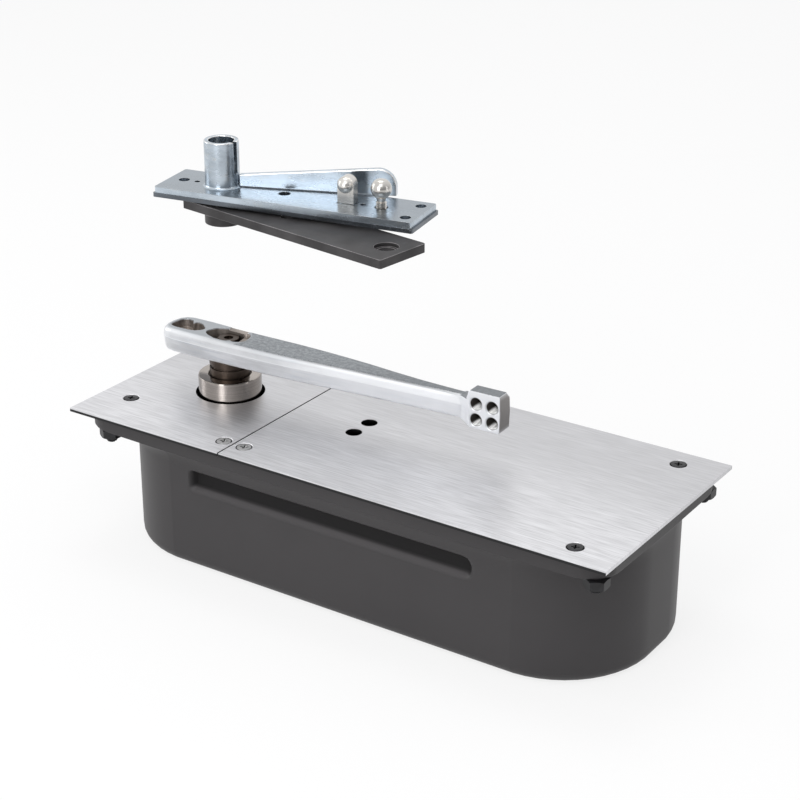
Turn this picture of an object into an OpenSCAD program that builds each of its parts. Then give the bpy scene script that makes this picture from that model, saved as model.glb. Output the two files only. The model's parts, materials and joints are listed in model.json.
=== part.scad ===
// Floor spring door closer: a hydraulic closer in a steel floor case, with its cover
// plates, door arm and the walking beam top pivot that belongs to the set.
// Millimetres. The origin is on the spindle axis at the underside of the case,
// +X runs towards the long end of the case and +Z is up.

/* [Floor case] */
// Depth of the case below the covers
case_h = 72; // [66:1:84]
// How far the case body lies inside the covers at the spindle end
case_back_inset = 14.5; // [12:0.5:15.5]
// How far the case body lies inside the covers at the spring end
case_end_inset = 4.5; // [4:0.5:12]
// How far the case body lies inside the covers at each long side
case_side_inset = 6.5; // [5:0.5:8]
// Half the length of the straight part of each case end
case_end_flat = 7; // [5:1:25]
// Thickness of the case wall and floor
case_wall = 3; // [2:0.5:3.5]
// Rounding of the lower edge of the case
case_edge = 6; // [4:0.5:10]
// How far the rim stands out past the long sides of the body
rim_side = 3; // [2:0.5:5]
// Height of the rim
rim_h = 10.5; // [8:0.5:14]
// Plan radius of the rim corners
rim_r = 14; // [8:1:16]
// Distance from the spindle axis to the pressed groove in each long side
groove_start = 18.5; // [14:0.5:40]
// Distance from the spring end of the case to the pressed groove
groove_end_gap = 67.5; // [55:0.5:90]
// Height of the pressed groove
groove_h = 12; // [8:0.5:14]
// Depth of the pressed groove
groove_d = 3.5; // [2:0.5:4]
// Distance from the top of the case down to the groove's middle
groove_drop = 22.5; // [20:0.5:30]

/* [Covers] */
// Length of both cover plates together
cover_l = 311; // [311:1:325]
// Width of the cover plates
cover_w = 127; // [127:1:140]
// Thickness of the cover plates
cover_t = 2; // [1.5:0.25:3]
// How far the covers reach past the spindle axis
cover_back = 54.5; // [54:0.5:60]
// Distance from the spindle axis to the split between the plates
cover_split = 42.2; // [40:0.2:46]
// Gap between the two plates
split_gap = 0.5; // [0.3:0.1:1]
// Radius of the hole for the spindle collar
spindle_hole_r = 18.1; // [17.5:0.1:22]
// Radius of each valve access hole
access_r = 4.2; // [3.5:0.1:5]
// Radius of a cover screw's head
cover_head_r = 4.4; // [4:0.1:5]
// Radius of a cover screw's shank
cover_shank_r = 2.5; // [2:0.1:2.8]
// Length of a cover screw
cover_screw_l = 9; // [7:0.5:9.5]

/* [Hydraulic body] */
// Room between the casting and the underside of the covers
top_room = 8; // [7.5:0.5:10]
// Wall of the casting above and below the bore
bore_wall = 7; // [6.5:0.5:8]
// Wall of the casting beside the bore
body_wall = 6; // [5:0.5:8]
// Room between the spring end of the casting and the wall of the case
end_room = 27; // [24:1:35]
// Radius of the cam chamber
chamber_r = 30; // [30:0.5:31]
// Radius of the speed valves
valve_r = 3; // [2.5:0.25:3.5]
// Distance of the speed valves from the spindle axis
valve_x = 83.5; // [80:0.5:90]
// Distance of each speed valve from the long axis
valve_y = 6.8; // [6.5:0.1:8]

/* [Cam drive] */
// Radius of the cam roller
roller_r = 9; // [8:0.5:9]
// Distance from the spindle axis to the roller with the door closed
roller_x = 24; // [24:0.5:25]
// Piston travel for each degree that the arm turns
lift_rate = 0.12; // [0.08:0.01:0.12]
// Thickness of the cam as a share of the bore's radius
cam_share = 0.6667; // [0.6:0.01:0.7]
// Length of the piston behind its fork
piston_l = 40; // [34:1:44]
// Radius of the spring wire
wire_r = 3; // [2:0.25:3.25]
// Number of spring turns
spring_turns = 9; // [6:1:10]

/* [Spindle and arm] */
// Radius of the spindle in its upper bearing
spindle_r = 11; // [10.5:0.25:11]
// Radius of the spindle in its lower bearing
foot_r = 9; // [8:0.25:9.5]
// Radius of the collar on the spindle
collar_r = 16.5; // [15.5:0.1:16.8]
// Height of the collar above the covers
collar_rise = 10.3; // [8:0.1:12]
// Across flats of the spindle's square end
square_af = 13; // [11:0.5:14]
// Gap between the covers and the underside of the arm
arm_rise = 19.5; // [18:0.5:24]
// Thickness of the arm
arm_t = 12.5; // [11:0.5:14]
// Half width of the arm at its hub
hub_half = 11.5; // [11:0.5:13]
// How far the hub reaches behind the spindle axis
hub_back = 37.5; // [36:0.5:42]
// Distance from the spindle axis to the tip of the arm
arm_l = 165; // [155:1:180]
// Turn of the arm from the long axis of the case when closed
arm_turn = 1.9; // [0:0.1:2.5]
// Length of the tapped block at the tip
block_l = 17; // [15:0.5:20]
// Height of the tapped block
block_h = 19.6; // [18:0.2:22]
// Thickness of the tapped block
block_t = 10.5; // [9:0.5:13]
// Radius of each tapped hole
tapped_r = 2.9; // [2.4:0.1:3.1]

/* [Top pivot] */
// Height of the top pivot's frame plate above the covers
pivot_rise = 112; // [90:1:200]
// Length of the frame plate
frame_l = 139.7; // [138:0.1:150]
// Width of the pivot plates
frame_w = 31.75; // [30:0.25:36]
// Thickness of the frame plate
frame_t = 3.2; // [2.5:0.1:4]
// Turn of the frame plate from the long axis of the case
frame_turn = 10; // [0:0.5:14]
// Outer radius of the pin housing
housing_r = 8.75; // [8.5:0.05:9.5]
// Height of the pin housing above the frame plate
housing_h = 23.6; // [22:0.1:30]
// Radius of the pivot pin
pin_r = 6.35; // [6:0.05:6.4]
// Thickness of the door plate
door_t = 4.5; // [4:0.1:6.5]
// Distance from the pivot axis to the end of the door plate
door_l = 121; // [118:0.5:130]
// Turn of the door plate from the long axis of the case
door_turn = -8; // [-14:0.5:0]
// Radius of the adjusting screw's ball head
ball_r = 5.15; // [4.5:0.05:5.25]
// Height of the ball head above the frame plate
ball_rise = 9.4; // [9:0.1:12]
// Radius of the adjusting screw's thread
adjust_r = 3.4; // [3:0.1:3.6]
// Length of the walking beam
beam_l = 80; // [76:0.5:84]
// Height of the walking beam at its free end
beam_h = 13.5; // [11:0.5:15]
// Thickness of the walking beam
beam_t = 3.2; // [2.5:0.1:4]
// Turn of the walking beam from the frame plate
beam_turn = 12.2; // [11:0.1:16]

/* [Hidden] */
$fn = 96;

// Clearances
fit_gap = 0.05;
seat_gap = 0.1;
face_gap = 0.3;
over = 1;

// Case
cover_top = case_h + cover_t;
cover_front = cover_l - cover_back;
cover_half = cover_w / 2;
case_back = cover_back - case_back_inset;
case_front = cover_front - case_end_inset;
case_half = cover_half - case_side_inset;
case_r = case_half - case_end_flat;
rim_back_out = 9;
rim_front_out = 1.5;
rim_back = case_back + rim_back_out;
rim_front = case_front + rim_front_out;
rim_half = case_half + rim_side;
rim_z = case_h - rim_h;
groove_l = case_front - groove_end_gap - groove_start;
groove_z = case_h - groove_drop;
groove_slope = 2;
inner_back = case_back - case_wall;
inner_front = case_front - case_wall;
inner_half = case_half - case_wall;
inner_r = case_r - case_wall;
hull_fn = 32;

// Cover screws and the holes that they pass
end_screw_inset = 17.7;
end_screw_y = 36.3;
split_screw_inset = 6.3;
side_screw_inset = 12.8;
long_screw_inset = 22.3;
side_screw_y = cover_half - side_screw_inset;
screw_head_h = cover_head_r - cover_shank_r;
socket_r = 1.7;
socket_h = 1.1;
cover_screw_places = [
    [-cover_back + end_screw_inset, -end_screw_y],
    [-cover_back + end_screw_inset, end_screw_y],
    [cover_split - split_screw_inset, -side_screw_y],
    [cover_split - split_screw_inset, side_screw_y],
    [cover_split + split_screw_inset, -side_screw_y],
    [cover_split + split_screw_inset, side_screw_y],
    [cover_front - long_screw_inset, -side_screw_y],
    [cover_front - long_screw_inset, side_screw_y]
];

// Bar under the split of the covers, and the ledges that it rests on
bridge_half = 13;
bridge_t = 3.2;
bridge_z = case_h - bridge_t;
ledge_h = 6.8;
ledge_z = bridge_z - ledge_h;
ledge_w = 6;

// Levelling screws under the rim's corners
level_r = 3;
level_nut_r = 6.2;
level_nut_h = 3.4;
level_drop = 6.5;
level_seat = 8;
level_inset_x = 13;
level_inset_y = 6.5;
level_places = [
    for (x = [-rim_back + level_inset_x, rim_front - level_inset_x / 2], s = [-1, 1])
        [x, s * (rim_half - level_inset_y)]
];

// Casting
foot_gap = 5;
body_z = case_wall + foot_gap;
body_top = case_h - top_room;
body_l = inner_front - end_room;
bore_z = (body_z + body_top) / 2;
bore_r = bore_z - body_z - bore_wall;
body_half = bore_r + body_wall;
head_gap = 1.5;
head_r = inner_back - head_gap;
bore_back = 18.5;
cam_t = bore_r * cam_share;
chamber_gap = 5;
chamber_half = cam_t / 2 + chamber_gap;
body_floor = 2;
bearing_wall = 4;
upper_wall = 5;
seal_room = 4;
upper_z = bore_z + chamber_half + body_floor;
upper_h = body_top - upper_z - seal_room;
seal_h = seal_room - face_gap;
lower_z = body_z + body_floor;
bearing_h = bore_z - chamber_half - body_floor - lower_z;
valve_boss_r = 6;
valve_boss_h = 4;
valve_floor = 1;
valve_z = bore_z + bore_r + valve_floor;
valve_l = 11.5;
slot_w = 1;
slot_d = 1.2;
ear_h = 8;
ear_share = 0.65;
ear_r = ear_share * (inner_half - body_half) / 2;
ear_y = (inner_half + body_half) / 2;
ear_back = 42;
ear_inset = 17;
ear_front = body_l - ear_inset;
ear_places = [for (x = [ear_back, ear_front], s = [-1, 1]) [x, s * ear_y]];
pad_gap = 1;
body_screw_r = 2.9;
body_head_r = 5;
body_head_h = 5;
filler_share = 0.676;
filler_x = filler_share * body_l;
filler_r = 5;
filler_flange = 1.5;
filler_h = 2.5;

// End cap
cap_l = 16;
cap_flange = 5;
cap_flange_t = 4;
cap_key_r = 8;
cap_key_h = 3;
ring_r = 1.5;
ring_inset = 7;
seal_w = 3.2;
seal_d = 1.2;
cap_spigot_gap = 2;
cap_spigot_l = 12;

// Spindle
foot_z = lower_z + face_gap;
shoulder_z = lower_z + bearing_h + seat_gap;
collar_z = body_top + face_gap;
collar_top = cover_top + collar_rise;
neck_r = 10.4;
neck_h = 4.2;
groove_neck_r = 9.2;
groove_neck_h = 1.6;
arm_z = cover_top + arm_rise;
arm_top = arm_z + arm_t;
pocket_d = 5.5;
pocket_z = arm_top - pocket_d;
key_w = 4;
key_h = 2.5;
arm_screw_r = 3;
arm_screw_head_r = 5.4;
arm_screw_head_h = 3.4;
arm_screw_l = 14;

// Cam and roller
turn_end = 105;
turn_spare = 12;
cam_step = 3;
fall_steps = 24;
cam_half = cam_t / 2;
lift_rad = lift_rate * 180 / PI;
cam_offset = roller_r + face_gap;
cam_hub_r = spindle_r;
fork_gap = 0.5;
fork_t = 6;
fork_half = 8;
fork_tip_r = 4.5;
roller_gap = 1;
roller_half = cam_half - roller_gap;
roller_pin_r = 3.5;
piston_x = 42;
piston_r = bore_r - fit_gap;
piston_head = 14;
spring_cup_x = piston_x + piston_head;
cup_wall = 1.95;
spring_cup_r = piston_r - cup_wall;
seal_x = piston_x + ring_inset;
spring_gap = 1;
spring_mean_r = spring_cup_r - wire_r - spring_gap;
cap_spigot_r = spring_mean_r - wire_r - cap_spigot_gap;
spring_end = body_l - cap_l;
wire_sides = 8;
turn_steps = 20;
ball_seat_r = 2;
ball_bore_r = 2.9;
check_ball_r = 2.4;
ball_inset = 6;
ball_x = piston_x + ball_inset;
plug_l = 3;

// Arm outline, as shares of the arm's length and of the hub's half width
arm_front_shares = [[0, -1], [0.29, -0.9], [0.66, -0.55], [0.86, -0.37], [0.9, -0.37]];
arm_back_shares = [[0, 0.9], [0.27, 0.82], [0.51, 0.62], [0.71, 0.3], [0.9, 0.22]];
hub_corner = 10;
block_front = 8;
block_drop = 1.5;
block_chamfer = 3.5;
block_flare = 6;
neck_share = 0.3;
tapped_pitch_x = 8.8;
tapped_pitch_z = 8.2;
tapped_drop = 5.2;
tapped_z = arm_top - tapped_drop;
tapped_from_tip = 8.2;
mouth_h = 0.7;
mouth_r = tapped_r + mouth_h;
pocket_r = 7;
pocket_neck_half = 4.2;
pocket_neck_l = 13.6;
back_pocket_r = 5.2;
back_pocket_x = -28.5;
back_pocket_l = 10;

// Top pivot
frame_top = cover_top + pivot_rise;
frame_z = frame_top - frame_t;
backing_t = 2.1;
backing_side = 0.9;
backing_z = frame_z - backing_t;
washer_t = 0.9;
washer_r = 11;
door_top = backing_z - washer_t - face_gap;
door_z = door_top - door_t;
door_back = 13;
door_corner = 1.2;
boss_r = 9.6;
boss_h = 8;
bush_wall = 1.6;
boss_floor = 0.8;
frame_back = 30.3;
frame_corner = 1.2;
frame_front = frame_l - frame_back;
housing_bore = pin_r + fit_gap;
slot_half = 1.3;
slot_rise = 7.5;
slot_turn = 0;
pin_drop = 5.6;
pin_z = door_z - pin_drop;
pin_l = 29;
hole_back_x = -22;
hole_back_r = 2.8;
hole_small_back_x = -14.5;
hole_small_r = 1.4;
hole_mid_x = 34.5;
hole_mid_r = 3.1;
hole_small_x = 77.2;
post_x = 69;
adjust_x = 87;
end_hole_inset = 5.6;
end_hole_y = 9.4;
end_hole_r = 2.7;
post_w = 8.6;
post_t = 5;
post_rise = 9.5;
post_ball_r = 4.1;
post_ball_in = 0.6;
post_tenon_r = 2;
adjust_neck_r = 1.9;
adjust_step = 3;
door_hole_inset = 10.6;
door_hole_r = 4.5;
door_sink_r = 6;
door_sink_h = 2;
door_mid_x = 45;
door_mid_r = 3.2;
door_bore = door_t - door_sink_h;
beam_start = housing_r + face_gap;
beam_low = 6.2;
beam_round = 9;
beam_lift = 0.3;

// Outline with round corners from x0 to x1, half wide on each side of the long axis
module rounded_rect(x0, x1, half, r) {
    translate([x0 + r, -half])
        square([x1 - x0 - 2 * r, 2 * half]);
    translate([x0, -half + r])
        square([x1 - x0, 2 * (half - r)]);
    for (x = [x0 + r, x1 - r], y = [-half + r, half - r])
        translate([x, y])
            circle(r);
}

module ring(outer, inner, h) {
    difference() {
        cylinder(r = outer, h = h);
        translate([0, 0, -over])
            cylinder(r = inner, h = h + 2 * over);
    }
}

// Box whose plan and lower edge are both rounded
module tub(back, front, half, r, edge, h) {
    hull($fn = hull_fn)
        for (x = [-back + r, front - r], s = [-1, 1])
            translate([x, s * (half - r), edge]) {
                cylinder(r = r, h = h - edge, $fn = 2 * hull_fn);
                rotate_extrude($fn = 2 * hull_fn)
                    translate([r - edge, 0])
                        circle(edge, $fn = hull_fn);
            }
}

// Long bead with sloping sides, lying along X with its mouth facing -Y
module bead(l, h, d, slope) {
    hull()
        for (x = [h / 2, l - h / 2])
            translate([x, 0, 0])
                rotate([-90, 0, 0])
                    cylinder(r1 = h / 2, r2 = h / 2 - slope, h = d, $fn = hull_fn);
}

module case_bead(s, l, h, d, y, slope) {
    mirror([0, s > 0 ? 1 : 0, 0])
        translate([groove_start + (groove_l - l) / 2, -y, groove_z])
            bead(l, h, d, slope);
}

module cement_case() {
    color("#45474a")
    difference() {
        union() {
            difference() {
                union() {
                    tub(case_back, case_front, case_half, case_r, case_edge, case_h);
                    translate([0, 0, rim_z])
                        linear_extrude(rim_h)
                            rounded_rect(-rim_back, rim_front, rim_half, rim_r);
                }
                translate([0, 0, case_wall])
                    tub(inner_back, inner_front, inner_half, inner_r, case_edge / 2,
                        case_h);
            }
            for (s = [-1, 1])
                case_bead(s, groove_l + 2 * case_wall, groove_h + 2 * case_wall,
                    groove_d + case_wall, case_half - case_wall / 2, groove_slope);
            for (s = [-1, 1])
                translate([cover_split - bridge_half, s * (inner_half - ledge_w / 2) - ledge_w / 2,
                    ledge_z])
                    cube([2 * bridge_half, ledge_w, ledge_h]);
            for (p = ear_places)
                translate([p[0], p[1], case_wall / 2])
                    cylinder(r = ear_r - pad_gap, h = body_z - case_wall / 2);
        }
        for (s = [-1, 1])
            case_bead(s, groove_l, groove_h, groove_d + over, case_half + over,
                groove_slope);
        for (p = level_places)
            translate([p[0], p[1], rim_z - over])
                cylinder(r = level_r + seat_gap, h = rim_h + 2 * over);
        for (p = cover_screw_places)
            translate([p[0], p[1], cover_top - cover_screw_l - over])
                cylinder(r = cover_shank_r + seat_gap, h = cover_screw_l + over);
        for (p = ear_places)
            translate([p[0], p[1], case_wall])
                cylinder(r = body_screw_r + seat_gap, h = body_z);
    }
}

// Plate with a countersunk hole at each of the places that lie on it
module cover_plate(x0, x1) {
    difference() {
        translate([x0, -cover_half, case_h])
            cube([x1 - x0, cover_w, cover_t]);
        for (p = cover_screw_places)
            if (p[0] > x0 && p[0] < x1)
                translate([p[0], p[1], case_h - over]) {
                    cylinder(r = cover_shank_r + seat_gap, h = cover_t + 2 * over);
                    translate([0, 0, over + cover_t - screw_head_h - seat_gap])
                        cylinder(r1 = cover_shank_r, r2 = cover_head_r + seat_gap,
                            h = screw_head_h + seat_gap);
                }
    }
}

module main_cover() {
    color("#c9cbce")
    difference() {
        cover_plate(cover_split + split_gap / 2, cover_front);
        for (s = [-1, 1])
            translate([valve_x, s * valve_y, case_h - over])
                cylinder(r = access_r, h = cover_t + 2 * over);
    }
}

module spindle_cover() {
    color("#c9cbce")
    difference() {
        cover_plate(-cover_back, cover_split - split_gap / 2);
        translate([0, 0, case_h - over])
            cylinder(r = spindle_hole_r, h = cover_t + 2 * over);
    }
}

module cover_bridge() {
    color("#55585c")
    difference() {
        translate([cover_split - bridge_half, -inner_half + seat_gap, bridge_z])
            cube([2 * bridge_half, 2 * (inner_half - seat_gap), bridge_t]);
        for (p = cover_screw_places)
            translate([p[0], p[1], bridge_z - over])
                cylinder(r = cover_shank_r + seat_gap, h = bridge_t + 2 * over);
    }
}

module cover_screw() {
    difference() {
        union() {
            translate([0, 0, -cover_screw_l])
                cylinder(r = cover_shank_r, h = cover_screw_l);
            translate([0, 0, -screw_head_h])
                cylinder(r1 = cover_shank_r, r2 = cover_head_r, h = screw_head_h);
        }
        translate([0, 0, -socket_h])
            cylinder(r = socket_r, h = socket_h + over, $fn = 6);
    }
}

module cover_screws() {
    color("#8f9092")
    for (p = cover_screw_places)
        translate([p[0], p[1], cover_top])
            cover_screw();
}

module levelling_screws() {
    color("#1c1c1e")
    for (p = level_places)
        translate([p[0], p[1], rim_z - level_drop])
            cylinder(r = level_r, h = level_drop + level_seat);
}

module levelling_nuts() {
    color("#1c1c1e")
    for (p = level_places)
        translate([p[0], p[1], rim_z - level_nut_h])
            difference() {
                cylinder(r = level_nut_r, h = level_nut_h, $fn = 6);
                translate([0, 0, -over])
                    cylinder(r = level_r + seat_gap, h = level_nut_h + 2 * over);
            }
}

module closer_body() {
    color("#5b5f63")
    difference() {
        union() {
            translate([0, 0, body_z])
                cylinder(r = head_r, h = body_top - body_z);
            translate([0, -body_half, body_z])
                cube([body_l, 2 * body_half, body_top - body_z]);
            for (s = [-1, 1])
                translate([valve_x, s * valve_y, body_top - over])
                    cylinder(r = valve_boss_r, h = valve_boss_h + over);
            for (x = [ear_back, ear_front])
                translate([x - ear_r, -ear_y, body_z])
                    cube([2 * ear_r, 2 * ear_y, ear_h]);
            for (p = ear_places)
                translate([p[0], p[1], body_z])
                    cylinder(r = ear_r, h = ear_h);
        }
        translate([0, 0, bore_z - chamber_half])
            cylinder(r = chamber_r, h = 2 * chamber_half);
        translate([bore_back, 0, bore_z])
            rotate([0, 90, 0])
                cylinder(r = bore_r, h = body_l);
        translate([0, 0, lower_z])
            cylinder(r = foot_r + fit_gap + bearing_wall, h = bore_z - lower_z);
        translate([0, 0, bore_z])
            cylinder(r = spindle_r + 2 * face_gap, h = body_top);
        translate([0, 0, upper_z])
            cylinder(r = spindle_r + fit_gap + upper_wall, h = body_top);
        for (s = [-1, 1])
            translate([valve_x, s * valve_y, bore_z])
                cylinder(r = valve_r + fit_gap, h = body_top);
        translate([filler_x, 0, bore_z])
            cylinder(r = filler_r + fit_gap, h = body_top);
        for (p = ear_places)
            translate([p[0], p[1], body_z - over])
                cylinder(r = body_screw_r + seat_gap, h = ear_h + 2 * over);
    }
}

module body_screws() {
    color("#2a2a2c")
    for (p = ear_places)
        translate([p[0], p[1], body_z + ear_h])
            difference() {
                union() {
                    cylinder(r = body_head_r, h = body_head_h);
                    translate([0, 0, -ear_h - foot_gap])
                        cylinder(r = body_screw_r, h = ear_h + foot_gap + over);
                }
                translate([0, 0, body_head_h / 2])
                    cylinder(r = body_head_r / 2, h = body_head_h, $fn = 6);
            }
}

// Square groove of depth d around a cylinder of radius r
module seal_groove(r, d) {
    rotate_extrude()
        translate([r - d, -seal_w / 2])
            square([d + over, seal_w]);
}

module spring_end_cap() {
    color("#6b6e72")
    translate([spring_end, 0, bore_z])
        rotate([0, 90, 0])
            difference() {
                union() {
                    cylinder(r = bore_r - fit_gap, h = cap_l);
                    translate([0, 0, cap_l])
                        cylinder(r = bore_r + cap_flange, h = cap_flange_t);
                    translate([0, 0, -cap_spigot_l])
                        cylinder(r = cap_spigot_r, h = cap_spigot_l + over);
                }
                translate([0, 0, ring_inset])
                    seal_groove(bore_r, 2 * ring_r);
                translate([0, 0, cap_l + cap_flange_t - cap_key_h])
                    cylinder(r = cap_key_r, h = cap_flange_t, $fn = 6);
            }
}

module end_cap_seal() {
    color("#1a1a1a")
    translate([spring_end + ring_inset, 0, bore_z])
        rotate([0, 90, 0])
            rotate_extrude()
                translate([bore_r - ring_r, 0])
                    circle(ring_r - fit_gap);
}

module upper_bearing() {
    color("#b08d57")
    translate([0, 0, upper_z])
        ring(spindle_r + upper_wall, spindle_r + fit_gap, upper_h);
}

module lower_bearing() {
    color("#b08d57")
    translate([0, 0, lower_z])
        ring(foot_r + bearing_wall, foot_r + fit_gap, bearing_h);
}

module spindle_seal() {
    color("#1a1a1a")
    translate([0, 0, upper_z + upper_h])
        ring(spindle_r + upper_wall, spindle_r + fit_gap, seal_h);
}

module filler_plug() {
    color("#6b6e72")
    difference() {
        union() {
            translate([filler_x, 0, body_top])
                cylinder(r = filler_r + filler_flange, h = filler_h);
            translate([filler_x, 0, valve_z])
                cylinder(r = filler_r, h = body_top - valve_z + over);
        }
        translate([filler_x, 0, body_top])
            cylinder(r = filler_r / 2, h = filler_h + over, $fn = 6);
    }
}

module speed_valve(s) {
    translate([valve_x, s * valve_y, valve_z])
        difference() {
            cylinder(r = valve_r, h = valve_l);
            translate([-valve_r - over, -slot_w / 2, valve_l - slot_d])
                cube([2 * (valve_r + over), slot_w, slot_d + over]);
        }
}

module closing_valve() {
    color("#a08850")
    speed_valve(-1);
}

module latch_valve() {
    color("#a08850")
    speed_valve(1);
}

// Points of one ring of the spring wire, a turns from the spring's start
function wire_ring(a, x) = [
    for (i = [0 : wire_sides - 1])
        let (b = i * 360 / wire_sides, r = spring_mean_r + wire_r * cos(b))
            [x + wire_r * sin(b), r * cos(a * 360), r * sin(a * 360)]
];

module main_spring() {
    steps = spring_turns * turn_steps;
    x0 = spring_cup_x + wire_r + seat_gap;
    x1 = spring_end - wire_r - seat_gap;
    points = [
        for (k = [0 : steps])
            each wire_ring(k / turn_steps, x0 + (x1 - x0) * k / steps)
    ];
    sides = [
        for (k = [0 : steps - 1], i = [0 : wire_sides - 1])
            let (j = (i + 1) % wire_sides)
                [k * wire_sides + i, k * wire_sides + j, (k + 1) * wire_sides + j,
                    (k + 1) * wire_sides + i]
    ];
    first = [[for (i = [wire_sides - 1 : -1 : 0]) i]];
    last = [[for (i = [0 : wire_sides - 1]) steps * wire_sides + i]];
    color("#8a8d91")
    translate([0, 0, bore_z])
        polyhedron(points, concat(sides, first, last));
}

module spindle() {
    color("#4a4340")
    difference() {
        union() {
            translate([0, 0, foot_z])
                cylinder(r = foot_r, h = shoulder_z - foot_z + over);
            translate([0, 0, shoulder_z])
                cylinder(r = spindle_r, h = collar_top - shoulder_z - over);
            translate([0, 0, collar_top - 2 * over])
                cylinder(r = neck_r, h = neck_h + 2 * over);
            translate([0, 0, collar_top + neck_h])
                cylinder(r = groove_neck_r, h = groove_neck_h);
            translate([0, 0, collar_top + neck_h + groove_neck_h])
                cylinder(r = neck_r, h = arm_z - collar_top - neck_h - groove_neck_h);
            rotate([0, 0, arm_turn])
                translate([-square_af / 2, -square_af / 2, arm_z - over])
                    cube([square_af, square_af, pocket_z - arm_z + over]);
        }
        translate([0, 0, pocket_z - arm_screw_l])
            cylinder(r = arm_screw_r + seat_gap, h = arm_screw_l + over);
        translate([-spindle_r - over, -key_w / 2, bore_z - cam_half])
            cube([key_h + over, key_w, cam_t]);
    }
}

module spindle_collar() {
    color("#9a918a")
    translate([0, 0, collar_z])
        ring(collar_r, spindle_r + seat_gap / 2, collar_top - collar_z);
}

// Distance from the spindle axis to the roller when the cam has turned by -a
function pitch(a) = roller_x - lift_rate * a;

// Point of the cam's edge that carries the roller at angle a of the cam
function cam_point(a) =
    let (p = pitch(a), q = -lift_rad, n = norm([p, q]))
        [p * cos(a) - cam_offset * (p * cos(a) + q * sin(a)) / n,
            p * sin(a) - cam_offset * (p * sin(a) - q * cos(a)) / n];

module cam_outline() {
    low = -turn_end - turn_spare;
    a = cam_point(turn_spare);
    b = cam_point(low);
    a_turn = atan2(a[1], a[0]);
    b_turn = atan2(b[1], b[0]) + 360;
    rise = [for (k = [low : cam_step : turn_spare]) cam_point(k)];
    fall = [
        for (k = [1 : 1 : fall_steps - 1])
            let (t = k / fall_steps, r = norm(a) + (norm(b) - norm(a)) * (1 - cos(180 * t)) / 2,
                w = a_turn + (b_turn - a_turn) * t)
                [r * cos(w), r * sin(w)]
    ];
    polygon(concat(rise, fall));
}

module cam() {
    color("#6f7276")
    translate([0, 0, bore_z - cam_half])
        difference() {
            linear_extrude(cam_t)
                cam_outline();
            translate([0, 0, -over])
                cylinder(r = cam_hub_r + fit_gap, h = cam_t + 2 * over);
            translate([-spindle_r - key_h / 2, -key_w / 2, -over])
                cube([key_h, key_w, cam_t + 2 * over]);
        }
}

module cam_key() {
    color("#3d3f42")
    translate([-spindle_r - key_h / 2 + seat_gap, -key_w / 2 + seat_gap, bore_z - cam_half])
        cube([key_h + key_h / 2 - 2 * seat_gap, key_w - 2 * seat_gap, cam_t]);
}

function side_points(shares) = [for (p = shares) [p[0] * arm_l, p[1] * hub_half]];

module arm_outline() {
    polygon(concat(side_points(arm_front_shares),
        [for (k = [len(arm_back_shares) - 1 : -1 : 0]) side_points(arm_back_shares)[k]]));
    translate([-hub_back + hub_corner, -hub_half])
        square([hub_back - hub_corner, hub_half * (1 + arm_back_shares[0][1])]);
    for (y = [-hub_half + hub_corner, hub_half * arm_back_shares[0][1] - hub_corner])
        translate([-hub_back + hub_corner, y])
            circle(hub_corner);
}

module tapped_block() {
    block_x = arm_l - block_l;
    translate([block_x, -block_front, arm_z - block_drop])
        difference() {
            cube([block_l, block_t, block_h]);
            translate([-over, block_t, block_h - block_chamfer])
                rotate([45, 0, 0])
                    cube([block_l + 2 * over, block_l, block_l]);
        }
    translate([block_x - block_flare, 0, arm_z])
        linear_extrude(arm_t)
            polygon([[0, -hub_half * neck_share], [block_flare + over, -block_front],
                [block_flare + over, block_t - block_front], [0, hub_half * neck_share]]);
}

module door_arm() {
    color("#c4c8cb")
    rotate([0, 0, arm_turn])
        difference() {
            union() {
                translate([0, 0, arm_z])
                    linear_extrude(arm_t)
                        arm_outline();
                tapped_block();
            }
            translate([-square_af / 2, -square_af / 2, arm_z - over])
                cube([square_af, square_af, arm_t]);
            translate([0, 0, pocket_z])
                cylinder(r = pocket_r, h = arm_t);
            translate([0, -pocket_neck_half, pocket_z])
                cube([pocket_neck_l, 2 * pocket_neck_half, arm_t]);
            translate([back_pocket_x, 0, pocket_z])
                cylinder(r = back_pocket_r, h = arm_t);
            translate([back_pocket_x, -back_pocket_r, pocket_z])
                cube([back_pocket_l, 2 * back_pocket_r, arm_t]);
            for (x = [-1, 1], z = [-1, 1])
                translate([arm_l - tapped_from_tip + x * tapped_pitch_x / 2, -block_front - over,
                    tapped_z + z * tapped_pitch_z / 2])
                    rotate([-90, 0, 0]) {
                        cylinder(r = tapped_r, h = block_t + 2 * over);
                        translate([0, 0, over])
                            cylinder(r1 = mouth_r, r2 = tapped_r, h = mouth_h);
                    }
        }
}

module arm_screw() {
    color("#5d5652")
    difference() {
        union() {
            translate([0, 0, pocket_z])
                cylinder(r = arm_screw_head_r, h = arm_screw_head_h);
            translate([0, 0, pocket_z - arm_screw_l + over])
                cylinder(r = arm_screw_r, h = arm_screw_l);
        }
        translate([0, 0, pocket_z + arm_screw_head_h / 2])
            cylinder(r = arm_screw_head_r / 2, h = arm_screw_head_h, $fn = 6);
    }
}

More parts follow.
